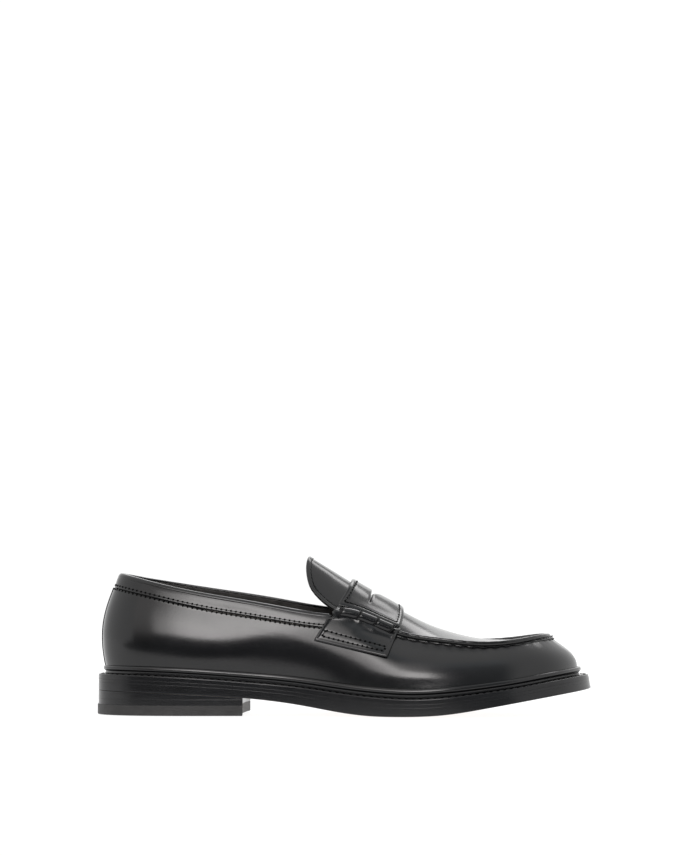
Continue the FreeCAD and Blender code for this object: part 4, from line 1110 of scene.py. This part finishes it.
def build_sock():
    """Sock liner: a plate on the insole whose rim turns up a little against the lining."""
    edge = ALL_LAYERS + 3 * GLUE
    pad = Spline([(-150, 2.0), (-85, 2.0), (-62, 0.1), (-40, 0.0), (150, 0.0)])

    def top(x, y=None):
        return sole_top(x) + 3.0 + GLUE + np.maximum(0.0, pad(x)) + GLUE + 1.2

    rings = []
    profile = [
        (14, -1.2), (edge + 0.1, -1.2), (edge, -0.9), (edge + 0.05, 0.25), (edge + 0.35, 0.45),
        (edge + 0.9, 0.38), (edge + 2.5, 0.12), (edge + 5.0, 0.0), (14, 0.0),
    ]
    for inset, rise in profile:
        ring = feather(RING_U, -inset)
        ring[:, 0] = np.minimum(ring[:, 0], 130.5)
        ring[:, 2] = top(ring[:, 0]) + rise
        rings.append(ring)
    verts, faces = plate(rings, lambda x, y: top(x) - 1.2, top)
    make_piece("sock_liner_leather", verts, faces, LINING_MAT, "lining_leather", ("sock_liner",))


# ---- Apron, tongue and ridge ----
TONGUE_EDGE = Spline(
    [(-1.0, 1.0), (-0.94, -3.0), (-0.89, -7.6), (-0.8, -14.4), (-0.72, -18.6), (-0.6, -21.2),
     (-0.45, -22.0), (-0.25, -21.5), (0.0, -20.6), (0.25, -21.5), (0.45, -22.0), (0.6, -21.2),
     (0.72, -18.6), (0.8, -14.4), (0.89, -7.6), (0.94, -3.0), (1.0, 1.0)]
)
TONGUE_ROOT = 6.0  # x where the tongue starts, under the strap


def apron_grid(inset):
    """Plan grid of the apron from its seam inwards: x and y, for the part ahead of the tongue."""
    u = np.linspace(seam_u_at(TONGUE_ROOT, False), seam_u_at(TONGUE_ROOT, True), 300)
    out = plan_normal(top_x, top_y, u)
    edge = stack(top_x(u), top_y(u)) - out[..., :2] * inset
    share = np.clip((edge[:, 0] - TONGUE_ROOT) / (126 - TONGUE_ROOT), 0, 1)
    axis_x = TONGUE_ROOT + share * (96 - TONGUE_ROOT)
    axis = stack(axis_x, crown_axis(axis_x))
    steps = np.concatenate([[0, 0.012, 0.03, 0.055, 0.09], np.linspace(0.135, 1, 22)])
    grid = edge[:, None, :] * (1 - steps[None, :, None]) + axis[:, None, :] * steps[None, :, None]
    return grid


def seam_u_at(x, inner_side):
    low, high = (0.6, 0.8) if inner_side else (0.25, 0.45)
    for _ in range(40):
        middle = (low + high) / 2
        behind = float(top_x(middle)) < x
        low, high = (middle, high) if behind != inner_side else (low, middle)
    return (low + high) / 2


TONGUE_ROWS = np.array([0.0, 0.15, 0.4, 0.75, 1.1, 1.4, 1.65, 1.9, 2.2, 2.6, 3.2, 4.2, 5.6, 7.5, 10, 13, 16])


def tongue_roll(distance):
    """Bound edge: a flat band as wide as the binding, then the stitched step down to the leather."""
    d = np.asarray(distance, float)
    band = 0.38 * (1 - smooth(d, 1.5, 1.95))
    return band - 0.12 * np.exp(-(((d - 2.0) / 0.3) ** 2))


def build_apron():
    inset = RIDGE_HALF - 0.2
    grid = apron_grid(inset)
    rows, columns = grid.shape[:2]
    x, y = grid[..., 0], grid[..., 1]
    points = on_apron(x, y)
    normals = apron_normal(x, y)
    ripple = 0.5 * body_ripple(points)
    points = points + normals * ripple[..., None]
    faces = grid_faces(rows, columns)

    # Tongue: from the first and last rows of the grid back to the free edge.
    front = np.concatenate([grid[0], grid[-1][::-1][1:]])
    centre = crown_axis(front[:, 0])
    rail = np.where(front[:, 1] < centre, rail_outer(front[:, 0]), rail_inner(front[:, 0]))
    share = (front[:, 1] - centre) / np.abs(rail - centre)
    share = np.clip(share, -0.995, 0.995)
    rear_x = TONGUE_EDGE(share)
    span = front[:, 0] - rear_x
    steps = np.concatenate([TONGUE_ROWS, [-1.0]])
    tongue, roll = [], []
    for d in steps:
        part = np.where(d < 0, 1.0, np.minimum(d / span, 0.995))
        xs = rear_x + part * span
        first = apron_point(xs, share)
        tongue.append(np.where((part >= 1.0)[:, None], stack(front[:, 0], front[:, 1], first[:, 2]), first))
        roll.append(tongue_roll(part * span) * smooth(span * (1 - part), 0.0, 3.0))
    tongue, roll = np.array(tongue), np.array(roll)
    tongue_normals = apron_normal(tongue[..., 0], tongue[..., 1])
    tongue[..., 2] = apron_height(tongue[..., 0], tongue[..., 1])
    tongue = tongue + tongue_normals * (roll + 0.5 * body_ripple(tongue))[..., None]
    tongue_faces = grid_faces(tongue.shape[0], tongue.shape[1], base=rows * columns)
    all_points = np.vstack([points.reshape(-1, 3), tongue.reshape(-1, 3)])
    all_normals = np.vstack([normals.reshape(-1, 3), tongue_normals.reshape(-1, 3)])
    faces = orient(all_points, all_normals, faces) + orient(all_points, all_normals, tongue_faces)
    all_points, all_normals, faces = merge_points(all_points, all_normals, faces)
    verts, shell = thicken(all_points, all_normals, faces, LEATHER)
    make_piece("apron_leather", verts, shell, LEATHER_MAT, "upper_leather", ("apron_and_tongue",))

    lower = all_points - all_normals * (LEATHER + 0.15)
    verts, shell = thicken(lower, all_normals, faces, LINING)
    make_piece("tongue_lining_leather", verts, shell, LINING_MAT, "lining_leather", ("apron_lining",))
    build_tongue_stitches()


def build_tongue_stitches():
    share = np.linspace(-0.97, 0.97, 1200)
    x = TONGUE_EDGE(share)
    edge = apron_point(x, share)
    ahead = unit(np.gradient(edge, axis=0))
    normal = apron_normal(edge[:, 0], edge[:, 1])
    inward = unit(np.cross(normal, ahead))
    inward = inward * np.sign(inward[:, 0:1] + 1e-9)
    line = edge + inward * 2.05
    line[:, 2] = apron_height(line[:, 0], line[:, 1])
    keep = line[:, 0] < 1.5
    line, normal = line[keep], apron_normal(line[:, 0], line[:, 1])[keep]
    thread_rows("tongue_stitching", [(line - normal * 0.1, normal, 0.2)])


# Cross-sections (across, up) of the ridge's upper roll and lower lip.
RIDGE_ROLL = [
    (-1.3, -1.2), (-1.55, -0.2), (-1.5, 1.1), (-1.15, 2.2), (-0.55, 2.85), (0.1, 3.05), (0.7, 2.85),
    (1.12, 2.2), (1.28, 1.2), (1.15, 0.4), (0.75, 0.05), (0.1, -0.3),
]
RIDGE_LIP = [
    (-0.9, -1.4), (-0.3, -0.5), (0.4, 0.0), (0.95, 0.1), (1.35, -0.08), (1.58, -0.5), (1.55, -1.0),
    (1.25, -1.5), (0.6, -1.8), (-0.3, -1.9),
]


def build_ridge():
    u = np.linspace(SEAM_START_OUTER + 0.001, SEAM_START_INNER - 0.001, 620)
    here, across, up = seam_frame(u)
    pinch = 0.5 + 0.5 * np.cos(2 * np.pi * seam_phase(u))
    parts = []
    toe = np.maximum(0.0, across[:, 0]) ** 2
    for section, narrowing, centre, back in (
        (RIDGE_ROLL, 0.035, (-0.1, 0.8), 1.4), (RIDGE_LIP, 0.14, (0.3, -0.8), 0.5)
    ):
        rings = []
        scale = 1.0 - narrowing * pinch ** 2
        for a, b in section:
            aa = centre[0] + (a - centre[0]) * scale - back * toe
            bb = centre[1] + (b - centre[1]) * scale
            bb = bb * (1 - 0.2 * toe)
            rings.append(here + across * aa[:, None] + up * bb[:, None])
        parts.append(sweep(np.stack(rings, axis=1)))
    make_joined("apron_ridge_leather", parts, LEATHER_MAT, "upper_leather", ("apron_ridge",))

    # Hand stitches along the lip's foot, each nearly as long as the pitch.
    fine = np.linspace(seam_u_at(29.0, False), seam_u_at(31.5, True), 2500)
    here, across, up = seam_frame(fine)
    toe = np.maximum(0.0, across[:, 0:1]) ** 2
    line = here + across * (1.45 - 0.5 * toe) - up * 1.72
    normal = unit(across * 0.85 - up * 0.15 + np.array([0, 0, 0.25]))
    parts = stitches(line, normal, HAND_PITCH, HAND_PITCH - 0.7, 0.42, 0.12, start=HAND_PITCH * 0.1)
    # Each stitch dives under the lip and comes out above it in the ridge's groove.
    groove = here + across * 1.12 + up * 0.16
    parts += stitches(groove, unit(across + up * 0.4), HAND_PITCH, HAND_PITCH - 1.6, 0.26, 0.05,
                      start=HAND_PITCH * 0.1 + 0.8)
    make_joined("apron_hand_stitching", parts, THREAD_MAT, "upper_leather")


# ---- Saddle strap ----
STRAP_REAR = Spline([(-1.0, -5.4), (-0.6, 1.4), (0.0, 4.8), (0.6, 1.4), (1.0, -5.4)])
STRAP_FRONT = Spline([(-1.0, 31.0), (-0.6, 34.0), (0.0, 34.4), (0.6, 34.0), (1.0, 31.0)])
STRAP_SHARE = 0.885
SLOT_X, SLOT_BOW, SLOT_HALF, SLOT_END, SLOT_MID = 12.8, 2.4, 18.2, 2.7, 6.2


def strap_rows():
    """Shares of the strap's rows, with two that meet the slot's ends."""
    half = abs(float(rail_outer(15.0))) - 0.9
    slot = SLOT_HALF / half
    inside = np.linspace(-slot, slot, 33)
    steps = np.array([0.04, 0.12, 0.24, 0.38, 0.53, 0.67, 0.78, 0.87, 0.93, 0.97, 1.0])
    side = slot + (STRAP_SHARE - slot) * steps
    return np.concatenate([-side[::-1], inside, side]), slot


def slot_edges(share, slot):
    local = np.clip(share / slot, -1, 1)
    rear = SLOT_X + SLOT_BOW * (1 - local**2)
    bow = np.where(np.abs(local) < 0.5, np.maximum(0, np.cos(np.pi * local)) ** 2, 0.0)
    width = SLOT_END + bow * (SLOT_MID - SLOT_END)
    ends = np.clip((1 - np.abs(local)) / 0.04, 0, 1)
    width = width * np.sqrt(1 - (1 - ends) ** 2)
    narrowed = rear + (SLOT_END / 2) * (1 - np.minimum(1, width / SLOT_END))
    return np.where(width > 1e-6, narrowed, rear + SLOT_END / 2), width


def build_strap():
    shares, slot = strap_rows()
    slot_rear, width = slot_edges(shares, slot)
    lead = np.array([0.0, 0.025, 0.06, 0.1, 0.15, 0.2, 0.26, 0.34, 0.44, 0.56, 0.7, 0.82, 0.91, 0.96, 1.0])
    rear_x, front_x = STRAP_REAR(shares), STRAP_FRONT(shares)
    left = rear_x[:, None] + (slot_rear - rear_x)[:, None] * lead[None, :]
    slot_front = slot_rear + width
    right = slot_front[:, None] + (front_x - slot_front)[:, None] * (1 - lead[::-1])[None, :]
    xs = np.concatenate([left, right], axis=1)
    share_grid = shares[:, None] + 0 * xs
    edge = np.minimum.reduce([
        (xs - rear_x[:, None]), (front_x[:, None] - xs), (STRAP_SHARE - np.abs(share_grid)) * 29.0,
    ])
    height = STRAP_TOP + folded_edge(edge) + 0.25 * smooth(edge, 2, 9)
    points = apron_point(xs, share_grid, height + strap_lift(share_grid))
    flat = apron_point(xs, share_grid)
    normals = apron_normal(flat[..., 0], flat[..., 1])
    columns = len(lead)
    faces = []
    rows = len(shares)
    total = 2 * columns
    for r in range(rows - 1):
        for c in range(total - 1):
            if c == columns - 1:
                continue
            faces.append([r * total + c, (r + 1) * total + c, (r + 1) * total + c + 1, r * total + c + 1])
    points, normals = points.reshape(-1, 3), normals.reshape(-1, 3)
    faces = orient(points, normals, faces)
    points, normals, faces = merge_points(points, normals, faces)
    verts, shell = thicken(points, normals, faces, 2.2)
    make_piece("saddle_strap_leather", verts, shell, LEATHER_MAT, "upper_leather", ("strap", "strap_lining"))
    build_strap_stitches()


def strap_lift(share):
    """The strap's sides ride up over the wings beneath."""
    return 0.9 * smooth(np.abs(share), 0.62, STRAP_SHARE)


def build_strap_stitches():
    rows = []
    limit = STRAP_SHARE - 1.9 / 29.0
    share = np.linspace(-limit, limit, 700)
    for edge, shift in ((STRAP_REAR, 1.9), (STRAP_FRONT, -1.9)):
        x = edge(share) + shift
        points = apron_point(x, share, STRAP_TOP + strap_lift(share) - 0.04)
        rows.append((points, apron_normal(points[:, 0], points[:, 1]), 0.22))
    for side in (-1, 1):
        x = np.linspace(float(STRAP_REAR(limit)) + 1.9, float(STRAP_FRONT(limit)) - 1.9, 300)
        lift = strap_lift(limit)
        points = apron_point(x, np.full(300, side * limit), STRAP_TOP + lift - 0.04)
        rows.append((points, apron_normal(points[:, 0], points[:, 1]), 0.22))
    thread_rows("strap_stitching", rows, radius=0.27, size=1.35)


# Corners of the side tabs as (x, height): rear top, front top, front bottom, rear bottom.
TABS = {
    "outer": [(-8.4, 57.8), (29.0, 44.6), (24.8, 35.2), (-16.6, 45.0)],
    "inner": [(-5.8, 60.2), (30.6, 46.6), (27.0, 36.2), (-14.8, 47.6)],
}
TAB_ROWS = (2.7, 6.3)  # stitch rows, in mm above the tab's bottom edge


def wing_rails(side, b):
    """Control points of the strap's wing from under the saddle, over the ridge, to the tab's bottom."""
    inner = side == "inner"
    sign = 1 if inner else -1
    ends = smooth(np.abs(b - 0.5), 0.42, 0.47)
    rear_top, front_top, front_low, rear_low = [np.array(c, float) for c in TABS[side]]
    rails = []
    for share, offset, raised, trim in ((0.78, 1.4, 0.4, 0.8), (0.86, 2.0, 0.4, 0.1)):
        rear, front = STRAP_REAR(sign * share) + trim, STRAP_FRONT(sign * share) - trim
        x = rear + (front - rear) * b
        rails.append(apron_point(x, sign * share + 0 * b, offset + raised * ends))
    over_ridge = [
        (-1.3, 3.0, 0.0, 0.3), (0.2, 3.4, 0.0, 0.3), (1.5, 3.2, 0.1, 0.3), (2.6, 2.3, 0.2, 0.2),
    ]
    for k, (a, c, out_more, up_more) in enumerate(over_ridge):
        part = (k + 1) / 8
        rear = -4.2 + (rear_top[0] + 4.2) * part
        front = 32.2 + (front_top[0] - 32.2) * part
        u = np.interp(rear + (front - rear) * b, *seam_lookup(inner))
        here, across, up = seam_frame(u)
        rails.append(here + across * (a + out_more * ends)[:, None] + up * (c + up_more * ends)[:, None])
    for part in (0.1, 0.25, 0.4, 0.55, 0.7, 0.85, 1.0):
        rear = rear_top * (1 - part) + rear_low * part
        front = front_top * (1 - part) + front_low * part
        line = rear[None, :] * (1 - b[:, None]) + front[None, :] * b[:, None]
        uu, vv = wall_place(line[:, 0], line[:, 1], inner)
        rails.append(wall_point(uu, vv, np.full_like(uu, 1.95)))
        if part == 0.1:
            straight = (rails[-2] + rails[-1]) / 2 + np.array([0.0, 0.3 * sign, 0.15])
            here, across, up = seam_frame(np.interp(-5.2 + 35.0 * b, *seam_lookup(inner)))
            steep = here + across * 3.8 + up * 0.2
            share = smooth(b, 0.35, 0.65)[:, None]
            rails.insert(-1, steep + (straight - steep) * share)
    return np.array(rails)


def seam_lookup(inner):
    u = np.linspace(0.6, 0.8, 400)[::-1] if inner else np.linspace(0.25, 0.45, 400)
    return top_x(u), u


def through(points, count):
    """Dense smooth curves through rails: splines along the first axis, by chord length."""
    chord = np.linalg.norm(np.diff(points, axis=0), axis=-1).mean(axis=1)
    t = np.concatenate([[0], np.cumsum(chord)])
    at = np.linspace(0, t[-1], count)
    out = np.empty((count,) + points.shape[1:])
    for j in range(points.shape[1]):
        for k in range(3):
            out[:, j, k] = Spline(list(zip(t, points[:, j, k])))(at)
    return out, at


def grid_normals(points, towards):
    du = np.gradient(points, axis=0)
    dv = np.gradient(points, axis=1)
    normals = unit(np.cross(du, dv))
    flip = np.sign(np.sum(normals * towards, axis=-1, keepdims=True))
    return normals * np.where(flip == 0, 1, flip)


def build_wings():
    for side in ("outer", "inner"):
        inner = side == "inner"
        width = 42.0
        edge = np.array([0.0, 0.15, 0.4, 0.8, 1.2, 1.6, 2.1, 2.8, 4.0]) / width
        b = np.concatenate([edge, np.linspace(0.13, 0.87, 26), 1 - edge[::-1]])
        rails = wing_rails(side, b)
        points, at = through(rails, 90)
        outward = np.array([0.0, 1.0 if inner else -1.0, 0.35])
        normals = grid_normals(points, outward)
        from_bottom = (at[-1] - at)[:, None] + 0 * b[None, :]
        from_side = np.minimum(b, 1 - b)[None, :] * width + 0 * from_bottom
        fold = 0.35 * np.exp(-((np.minimum(from_side, from_bottom) / 0.9) ** 2))
        rows = sum(np.exp(-(((from_bottom - k) / 0.4) ** 2)) for k in TAB_ROWS)
        rows = -0.08 * rows * smooth(from_side, 1.0, 2.2)
        pad = 0.05 * np.exp(-(((from_bottom - 4.5) / 1.0) ** 2)) * smooth(from_side, 1.5, 3.0)
        bulge = gather_field(b, at)
        points = points + normals * (fold + rows + pad + bulge)[..., None]
        make_skin(f"strap_wing_{side}_leather", points, normals, 1.7, LEATHER_MAT, "upper_leather",
                  (f"strap_tab_{side}",))
        build_tab_stitches(side, points, normals, at, b, width)


def gather_field(b, at):
    """Gathers below the rolls: soft hollows under each roll and ridges under each wrap."""
    knots = (0.41, 0.68)
    down = at[:, None]
    start = 15.0
    reach = np.exp(-np.maximum(down - start, 0) / 3.0) * smooth(down, start - 3.0, start)
    waves = sum(np.exp(-(((b[None, :] - k) / 0.045) ** 2)) for k in knots)
    return reach * (0.42 * waves - 0.12) * smooth(np.minimum(b, 1 - b)[None, :], 0.02, 0.12)


def build_tab_stitches(side, points, normals, at, b, width):
    """Closed box of stitches: two rows along the tab's foot, joined at the ends."""
    def trace(down, across):
        i = np.interp(down, at, np.arange(len(at)))
        j = np.interp(across, b, np.arange(len(b)))
        i0, j0 = np.clip(i.astype(int), 0, len(at) - 2), np.clip(j.astype(int), 0, len(b) - 2)
        fi, fj = (i - i0)[:, None], (j - j0)[:, None]
        out = []
        for grid in (points, normals):
            a = grid[i0, j0] * (1 - fi) + grid[i0 + 1, j0] * fi
            c = grid[i0, j0 + 1] * (1 - fi) + grid[i0 + 1, j0 + 1] * fi
            out.append(a * (1 - fj) + c * fj)
        return out[0], unit(out[1])

    end = at[-1]
    low, high, near, far = end - TAB_ROWS[0], end - TAB_ROWS[1], 2.3 / width, 1 - 2.3 / width
    span = np.linspace(near, far, 300)
    short = np.linspace(high, low, 60)
    rows = []
    for down, across in (
        (np.full(300, low), span), (np.full(300, high), span),
        (short[4:-4], np.full(52, near)), (short[4:-4], np.full(52, far)),
    ):
        line, up = trace(down, across)
        rows.append((line + up * 0.05, up, 0.02))
    thread_rows(f"tab_stitching_{side}", rows, pitch=2.95, radius=0.26, size=1.5)


ROLL_LEAN = 0.5  # the gathers lean forward, in mm along the shoe for each mm up


def roll_point(here, across, up, a, c, scale):
    """Place in a roll's cross-section, shrunk by scale towards its middle and leaning forward."""
    aa, cc = 1.2 + (a - 1.2) * scale, 3.1 + (c - 3.1) * scale
    return here + across * aa + up * cc + np.array([ROLL_LEAN * (c - 3.4), 0, 0])


def build_rolls():
    knots = (-2.4, 7.8, 17.8, 27.5)
    # Cross-section of a gathered roll round the ridge (across, up).
    section = [
        (-1.6, 3.2), (-1.4, 4.2), (-0.8, 4.9), (0.0, 5.3), (0.9, 5.4), (1.8, 5.25), (2.6, 4.9), (3.25, 4.3),
        (3.65, 3.6), (3.8, 2.9), (3.8, 2.2), (3.6, 1.6), (3.1, 1.25), (2.4, 1.3), (1.6, 1.7),
        (0.8, 2.2), (-0.4, 2.6),
    ]
    ends = [0, 0.02, 0.05, 0.09, 0.14]
    steps = np.concatenate([ends, np.linspace(0.2, 0.8, 13), [0.86, 0.91, 0.95, 0.98, 1.0]])
    for side in ("outer", "inner"):
        lookup = seam_lookup(side == "inner")
        parts, wraps = [], []
        for index in range(3):
            start, end = knots[index] + 0.25, knots[index + 1] - 0.25
            frame_here = seam_frame(np.interp(start + (end - start) * steps, *lookup))
            near = np.minimum(steps, 1 - steps) * (end - start)
            scale = 0.80 + 0.20 * np.sqrt(np.clip(1 - (1 - np.minimum(near / 1.3, 1)) ** 2, 0, 1))
            rings = [roll_point(*frame_here, a, c, scale[:, None]) for a, c in section]
            parts.append(sweep(np.stack(rings, axis=1)))
        for x in knots:
            for shift in (-0.42, 0.42):
                frame_here = seam_frame(np.array([float(np.interp(x + shift, *lookup))]))
                loop = [roll_point(*frame_here, a, c, 0.93)[0] for a, c in section[:15]]
                wraps.append(tube(smooth_line(np.array(loop), 60), 0.36))
        nodes = (f"strap_rolls_{side}",)
        make_joined(f"strap_roll_{side}_leather", parts, LEATHER_MAT, "upper_leather", nodes)
        make_joined(f"strap_roll_{side}_wraps", wraps, THREAD_MAT, "upper_leather")


def smooth_line(points, count):
    length = arc_length(points)
    at = np.linspace(0, length[-1], count)
    return np.stack([Spline(list(zip(length, points[:, k])))(at) for k in range(3)], axis=1)


# ---- CAD nodes that stay: hidden layers get their own materials ----
def dress_hidden_nodes():
    cork = hidden_material("cork_paste", (0.30, 0.17, 0.08), (0.46, 0.3, 0.17), 0.85, 260.0)
    board = hidden_material("leather_board", (0.28, 0.18, 0.1), (0.4, 0.27, 0.16), 0.8, 200.0)
    cloth = hidden_material("cotton_backer", (0.62, 0.58, 0.5), (0.78, 0.74, 0.66), 0.9, 900.0)
    foam = hidden_material("pad_foam", (0.12, 0.12, 0.12), (0.22, 0.22, 0.22), 0.9, 600.0)
    steel = hidden_material("shank_steel", (0.42, 0.42, 0.44), (0.55, 0.55, 0.57), 0.4, 300.0, 1.0)
    insole = hidden_material("insole_board", (0.42, 0.28, 0.16), (0.58, 0.42, 0.27), 0.75, 150.0)
    dressed = {
        "cork_filler": cork, "heel_counter": board, "toe_puff": board, "side_backer_outer": cloth,
        "side_backer_inner": cloth, "insole_rib": cloth, "heel_pad": foam, "shank": steel,
        "heel_nails": steel, "insole": insole, "vamp_lining": LINING_MAT,
    }
    for name, material in dressed.items():
        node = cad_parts[name]
        for item in node.material_slots:
            item.material = material
        if not node.material_slots:
            node.data.materials.append(material)


# ---- Studio ----
VIEW_DISTANCE, VIEW_HEIGHT = 1300.0, 61.0  # about as high as the instep
VIEW_TILT = 0.04661149  # radians upwards, which sets the shoe low in the picture
VIEW_LENS = 89.530354


def build_camera():
    data = bpy.data.cameras.new("camera")
    camera = bpy.data.objects.new("camera", data)
    bpy.context.collection.objects.link(camera)
    data.sensor_fit = "AUTO"
    data.sensor_width = 36.0
    data.shift_y = 0.1
    data.lens = VIEW_LENS
    camera.location = (0.0006, -VIEW_DISTANCE * MM, VIEW_HEIGHT * MM)
    camera.rotation_euler = (math.pi / 2 + VIEW_TILT, 0, 0)
    data.clip_start, data.clip_end = 0.05, 50
    bpy.context.scene.camera = camera


def glow(name, tint, strength):
    """Glow of one strength, or of strengths by shares of the width (X) times shares of the height (Z)."""
    material = bpy.data.materials.new(name)
    material.use_nodes = True
    nodes, links = material.node_tree.nodes, material.node_tree.links
    nodes.clear()
    light = nodes.new("ShaderNodeEmission")
    light.inputs["Color"].default_value = (*tint, 1)
    output = nodes.new("ShaderNodeOutputMaterial")
    links.new(light.outputs[0], output.inputs["Surface"])
    if isinstance(strength, float):
        light.inputs["Strength"].default_value = strength
        return material
    split = nodes.new("ShaderNodeSeparateXYZ")
    links.new(nodes.new("ShaderNodeTexCoord").outputs["Generated"], split.inputs[0])
    product = nodes.new("ShaderNodeMath")
    product.operation = "MULTIPLY"
    for socket, (axis, stops) in enumerate(strength.items()):
        made = nodes.new("ShaderNodeValToRGB")
        ramp = made.color_ramp
        while len(ramp.elements) < len(stops):
            ramp.elements.new(0.5)
        for element, (position, value) in zip(ramp.elements, stops):
            element.position = position
            element.color = (value, value, value, 1)
        links.new(split.outputs[axis], made.inputs["Fac"])
        links.new(made.outputs["Color"], product.inputs[socket])
    links.new(product.outputs[0], light.inputs["Strength"])
    return material


def floor_material():
    """White table, lit so brightly that only the contact shadow shows."""
    material = bpy.data.materials.new("white_table")
    material.use_nodes = True
    surface = material.node_tree.nodes["Principled BSDF"]
    surface.inputs["Base Color"].default_value = (0.12, 0.12, 0.12, 1)
    surface.inputs["Roughness"].default_value = 0.6
    surface.inputs["Specular IOR Level"].default_value = 0.1
    surface.inputs["Emission Color"].default_value = (1, 1, 1, 1)
    surface.inputs["Emission Strength"].default_value = 0.93
    return material


def card(name, corners, material, camera_sees=False):
    """Flat stage panel through four corners in metres."""
    mesh = bpy.data.meshes.new(name)
    mesh.from_pydata(corners, [], [(0, 1, 2, 3)])
    mesh.materials.append(material)
    panel = bpy.data.objects.new(name, mesh)
    bpy.context.collection.objects.link(panel)
    panel.visible_camera = camera_sees


def upright(name, x, y, z, across, upward, tint=(1.0, 1.0, 1.0)):
    """Upright panel at one y, with (place in metres, strength) pairs across and upward."""
    corners = [(x[0], y, z[0]), (x[1], y, z[0]), (x[1], y, z[1]), (x[0], y, z[1])]
    across = [((at - x[0]) / (x[1] - x[0]), value) for at, value in across]
    upward = [((at - z[0]) / (z[1] - z[0]), value) for at, value in upward]
    card(name, corners, glow(name + "_glow", tint, {"X": across, "Z": upward}))


def build_studio():
    scene = bpy.context.scene
    scene.view_settings.view_transform = "Standard"
    scene.view_settings.look = "None"
    scene.view_settings.exposure = 0.0
    scene.view_settings.gamma = 1.0
    world = bpy.data.worlds.new("studio")
    scene.world = world
    world.use_nodes = True
    world.node_tree.nodes["Background"].inputs["Color"].default_value = (1.0, 1.0, 1.0, 1)
    world.node_tree.nodes["Background"].inputs["Strength"].default_value = 1.05
    floor = [(-4, -0.17, -0.0004), (4, -0.17, -0.0004), (4, 6, -0.0004), (-4, 6, -0.0004)]
    card("table", floor, floor_material(), camera_sees=True)
    dark = glow("dark_studio_floor", (0.85, 0.95, 1.0), 0.11)
    low = -0.006
    corners = [(-0.6, -0.171), (0.36, -0.171), (1.3, -2.0), (-2.4, -2.0)]
    card("studio_floor", [(x, y, low) for x, y in corners], dark)
    cool, warm = (0.9, 0.96, 1.0), (1.0, 0.975, 0.965)
    upright(
        "front_wall_left", (-2.4, -1.0), -2.0, (0, 5), [(-2.4, 1), (-1.0, 1)],
        [(0, 0.12), (0.15, 0.25), (0.35, 0.55), (0.6, 1.0), (1.2, 1.2), (5, 1.1)], warm
    )
    upright(
        "front_wall_low", (-1.0, 0.09), -2.0, (0, 0.40), [(-1.0, 1), (0.09, 1)],
        [(0, 0.14), (0.40, 0.2)], cool
    )
    upright(
        "front_softbox", (-1.0, 0.09), -2.0, (0.40, 5),
        [(-1.0, 2.2), (-0.8, 3.6), (-0.5, 4.5), (-0.36, 7.2), (-0.2, 10.5), (0.02, 10.5), (0.09, 5.5)],
        [(0.40, 1), (1.0, 0.92), (1.25, 0.75), (1.4, 0.48), (1.6, 0.36), (1.9, 0.27), (2.6, 0.22), (5, 0.17)],
        warm
    )
    upright(
        "front_wall_right", (0.09, 1.5), -2.0, (0, 5), [(0.09, 1), (1.2, 1), (1.5, 1.5)],
        [(0, 0.3), (1.0, 0.34), (2.2, 0.5), (3.3, 0.85), (5, 0.95)], cool
    )
    upright(
        "rear_wall", (-1.0, 1.8), 4.5, (0.6, 3.6), [(-1.0, 1), (1.8, 1)],
        [(0.6, 1.35), (1.6, 1.6), (2.6, 2.0), (3.6, 2.5)]
    )
    key = glow("rear_light_glow", (1.0, 0.99, 0.99), 5.4)
    corners = [(-0.4, 1.95), (1.5, 1.3), (2.1, 1.8), (0.6, 3.7)]
    card("rear_light", [(x, y, 3.1) for x, y in corners], key)
    shade = glow("overhead_shade", (0.95, 0.98, 1.0), 0.45)
    corners = [(-0.5, 0.35), (1.0, 0.35), (1.0, 1.15), (-0.5, 1.9)]
    card("overhead_gap", [(x, y, 3.09) for x, y in corners], shade)


build_sole()
build_welt_stitches()
build_rand()
build_heel()
build_wall()
build_collar()
build_collar_stitches()
build_binding()
build_heel_strip()
build_linings()
build_sock()
build_apron()
build_ridge()
build_strap()
build_wings()
build_rolls()
dress_hidden_nodes()
build_camera()
build_studio()

bpy.context.view_layer.update()
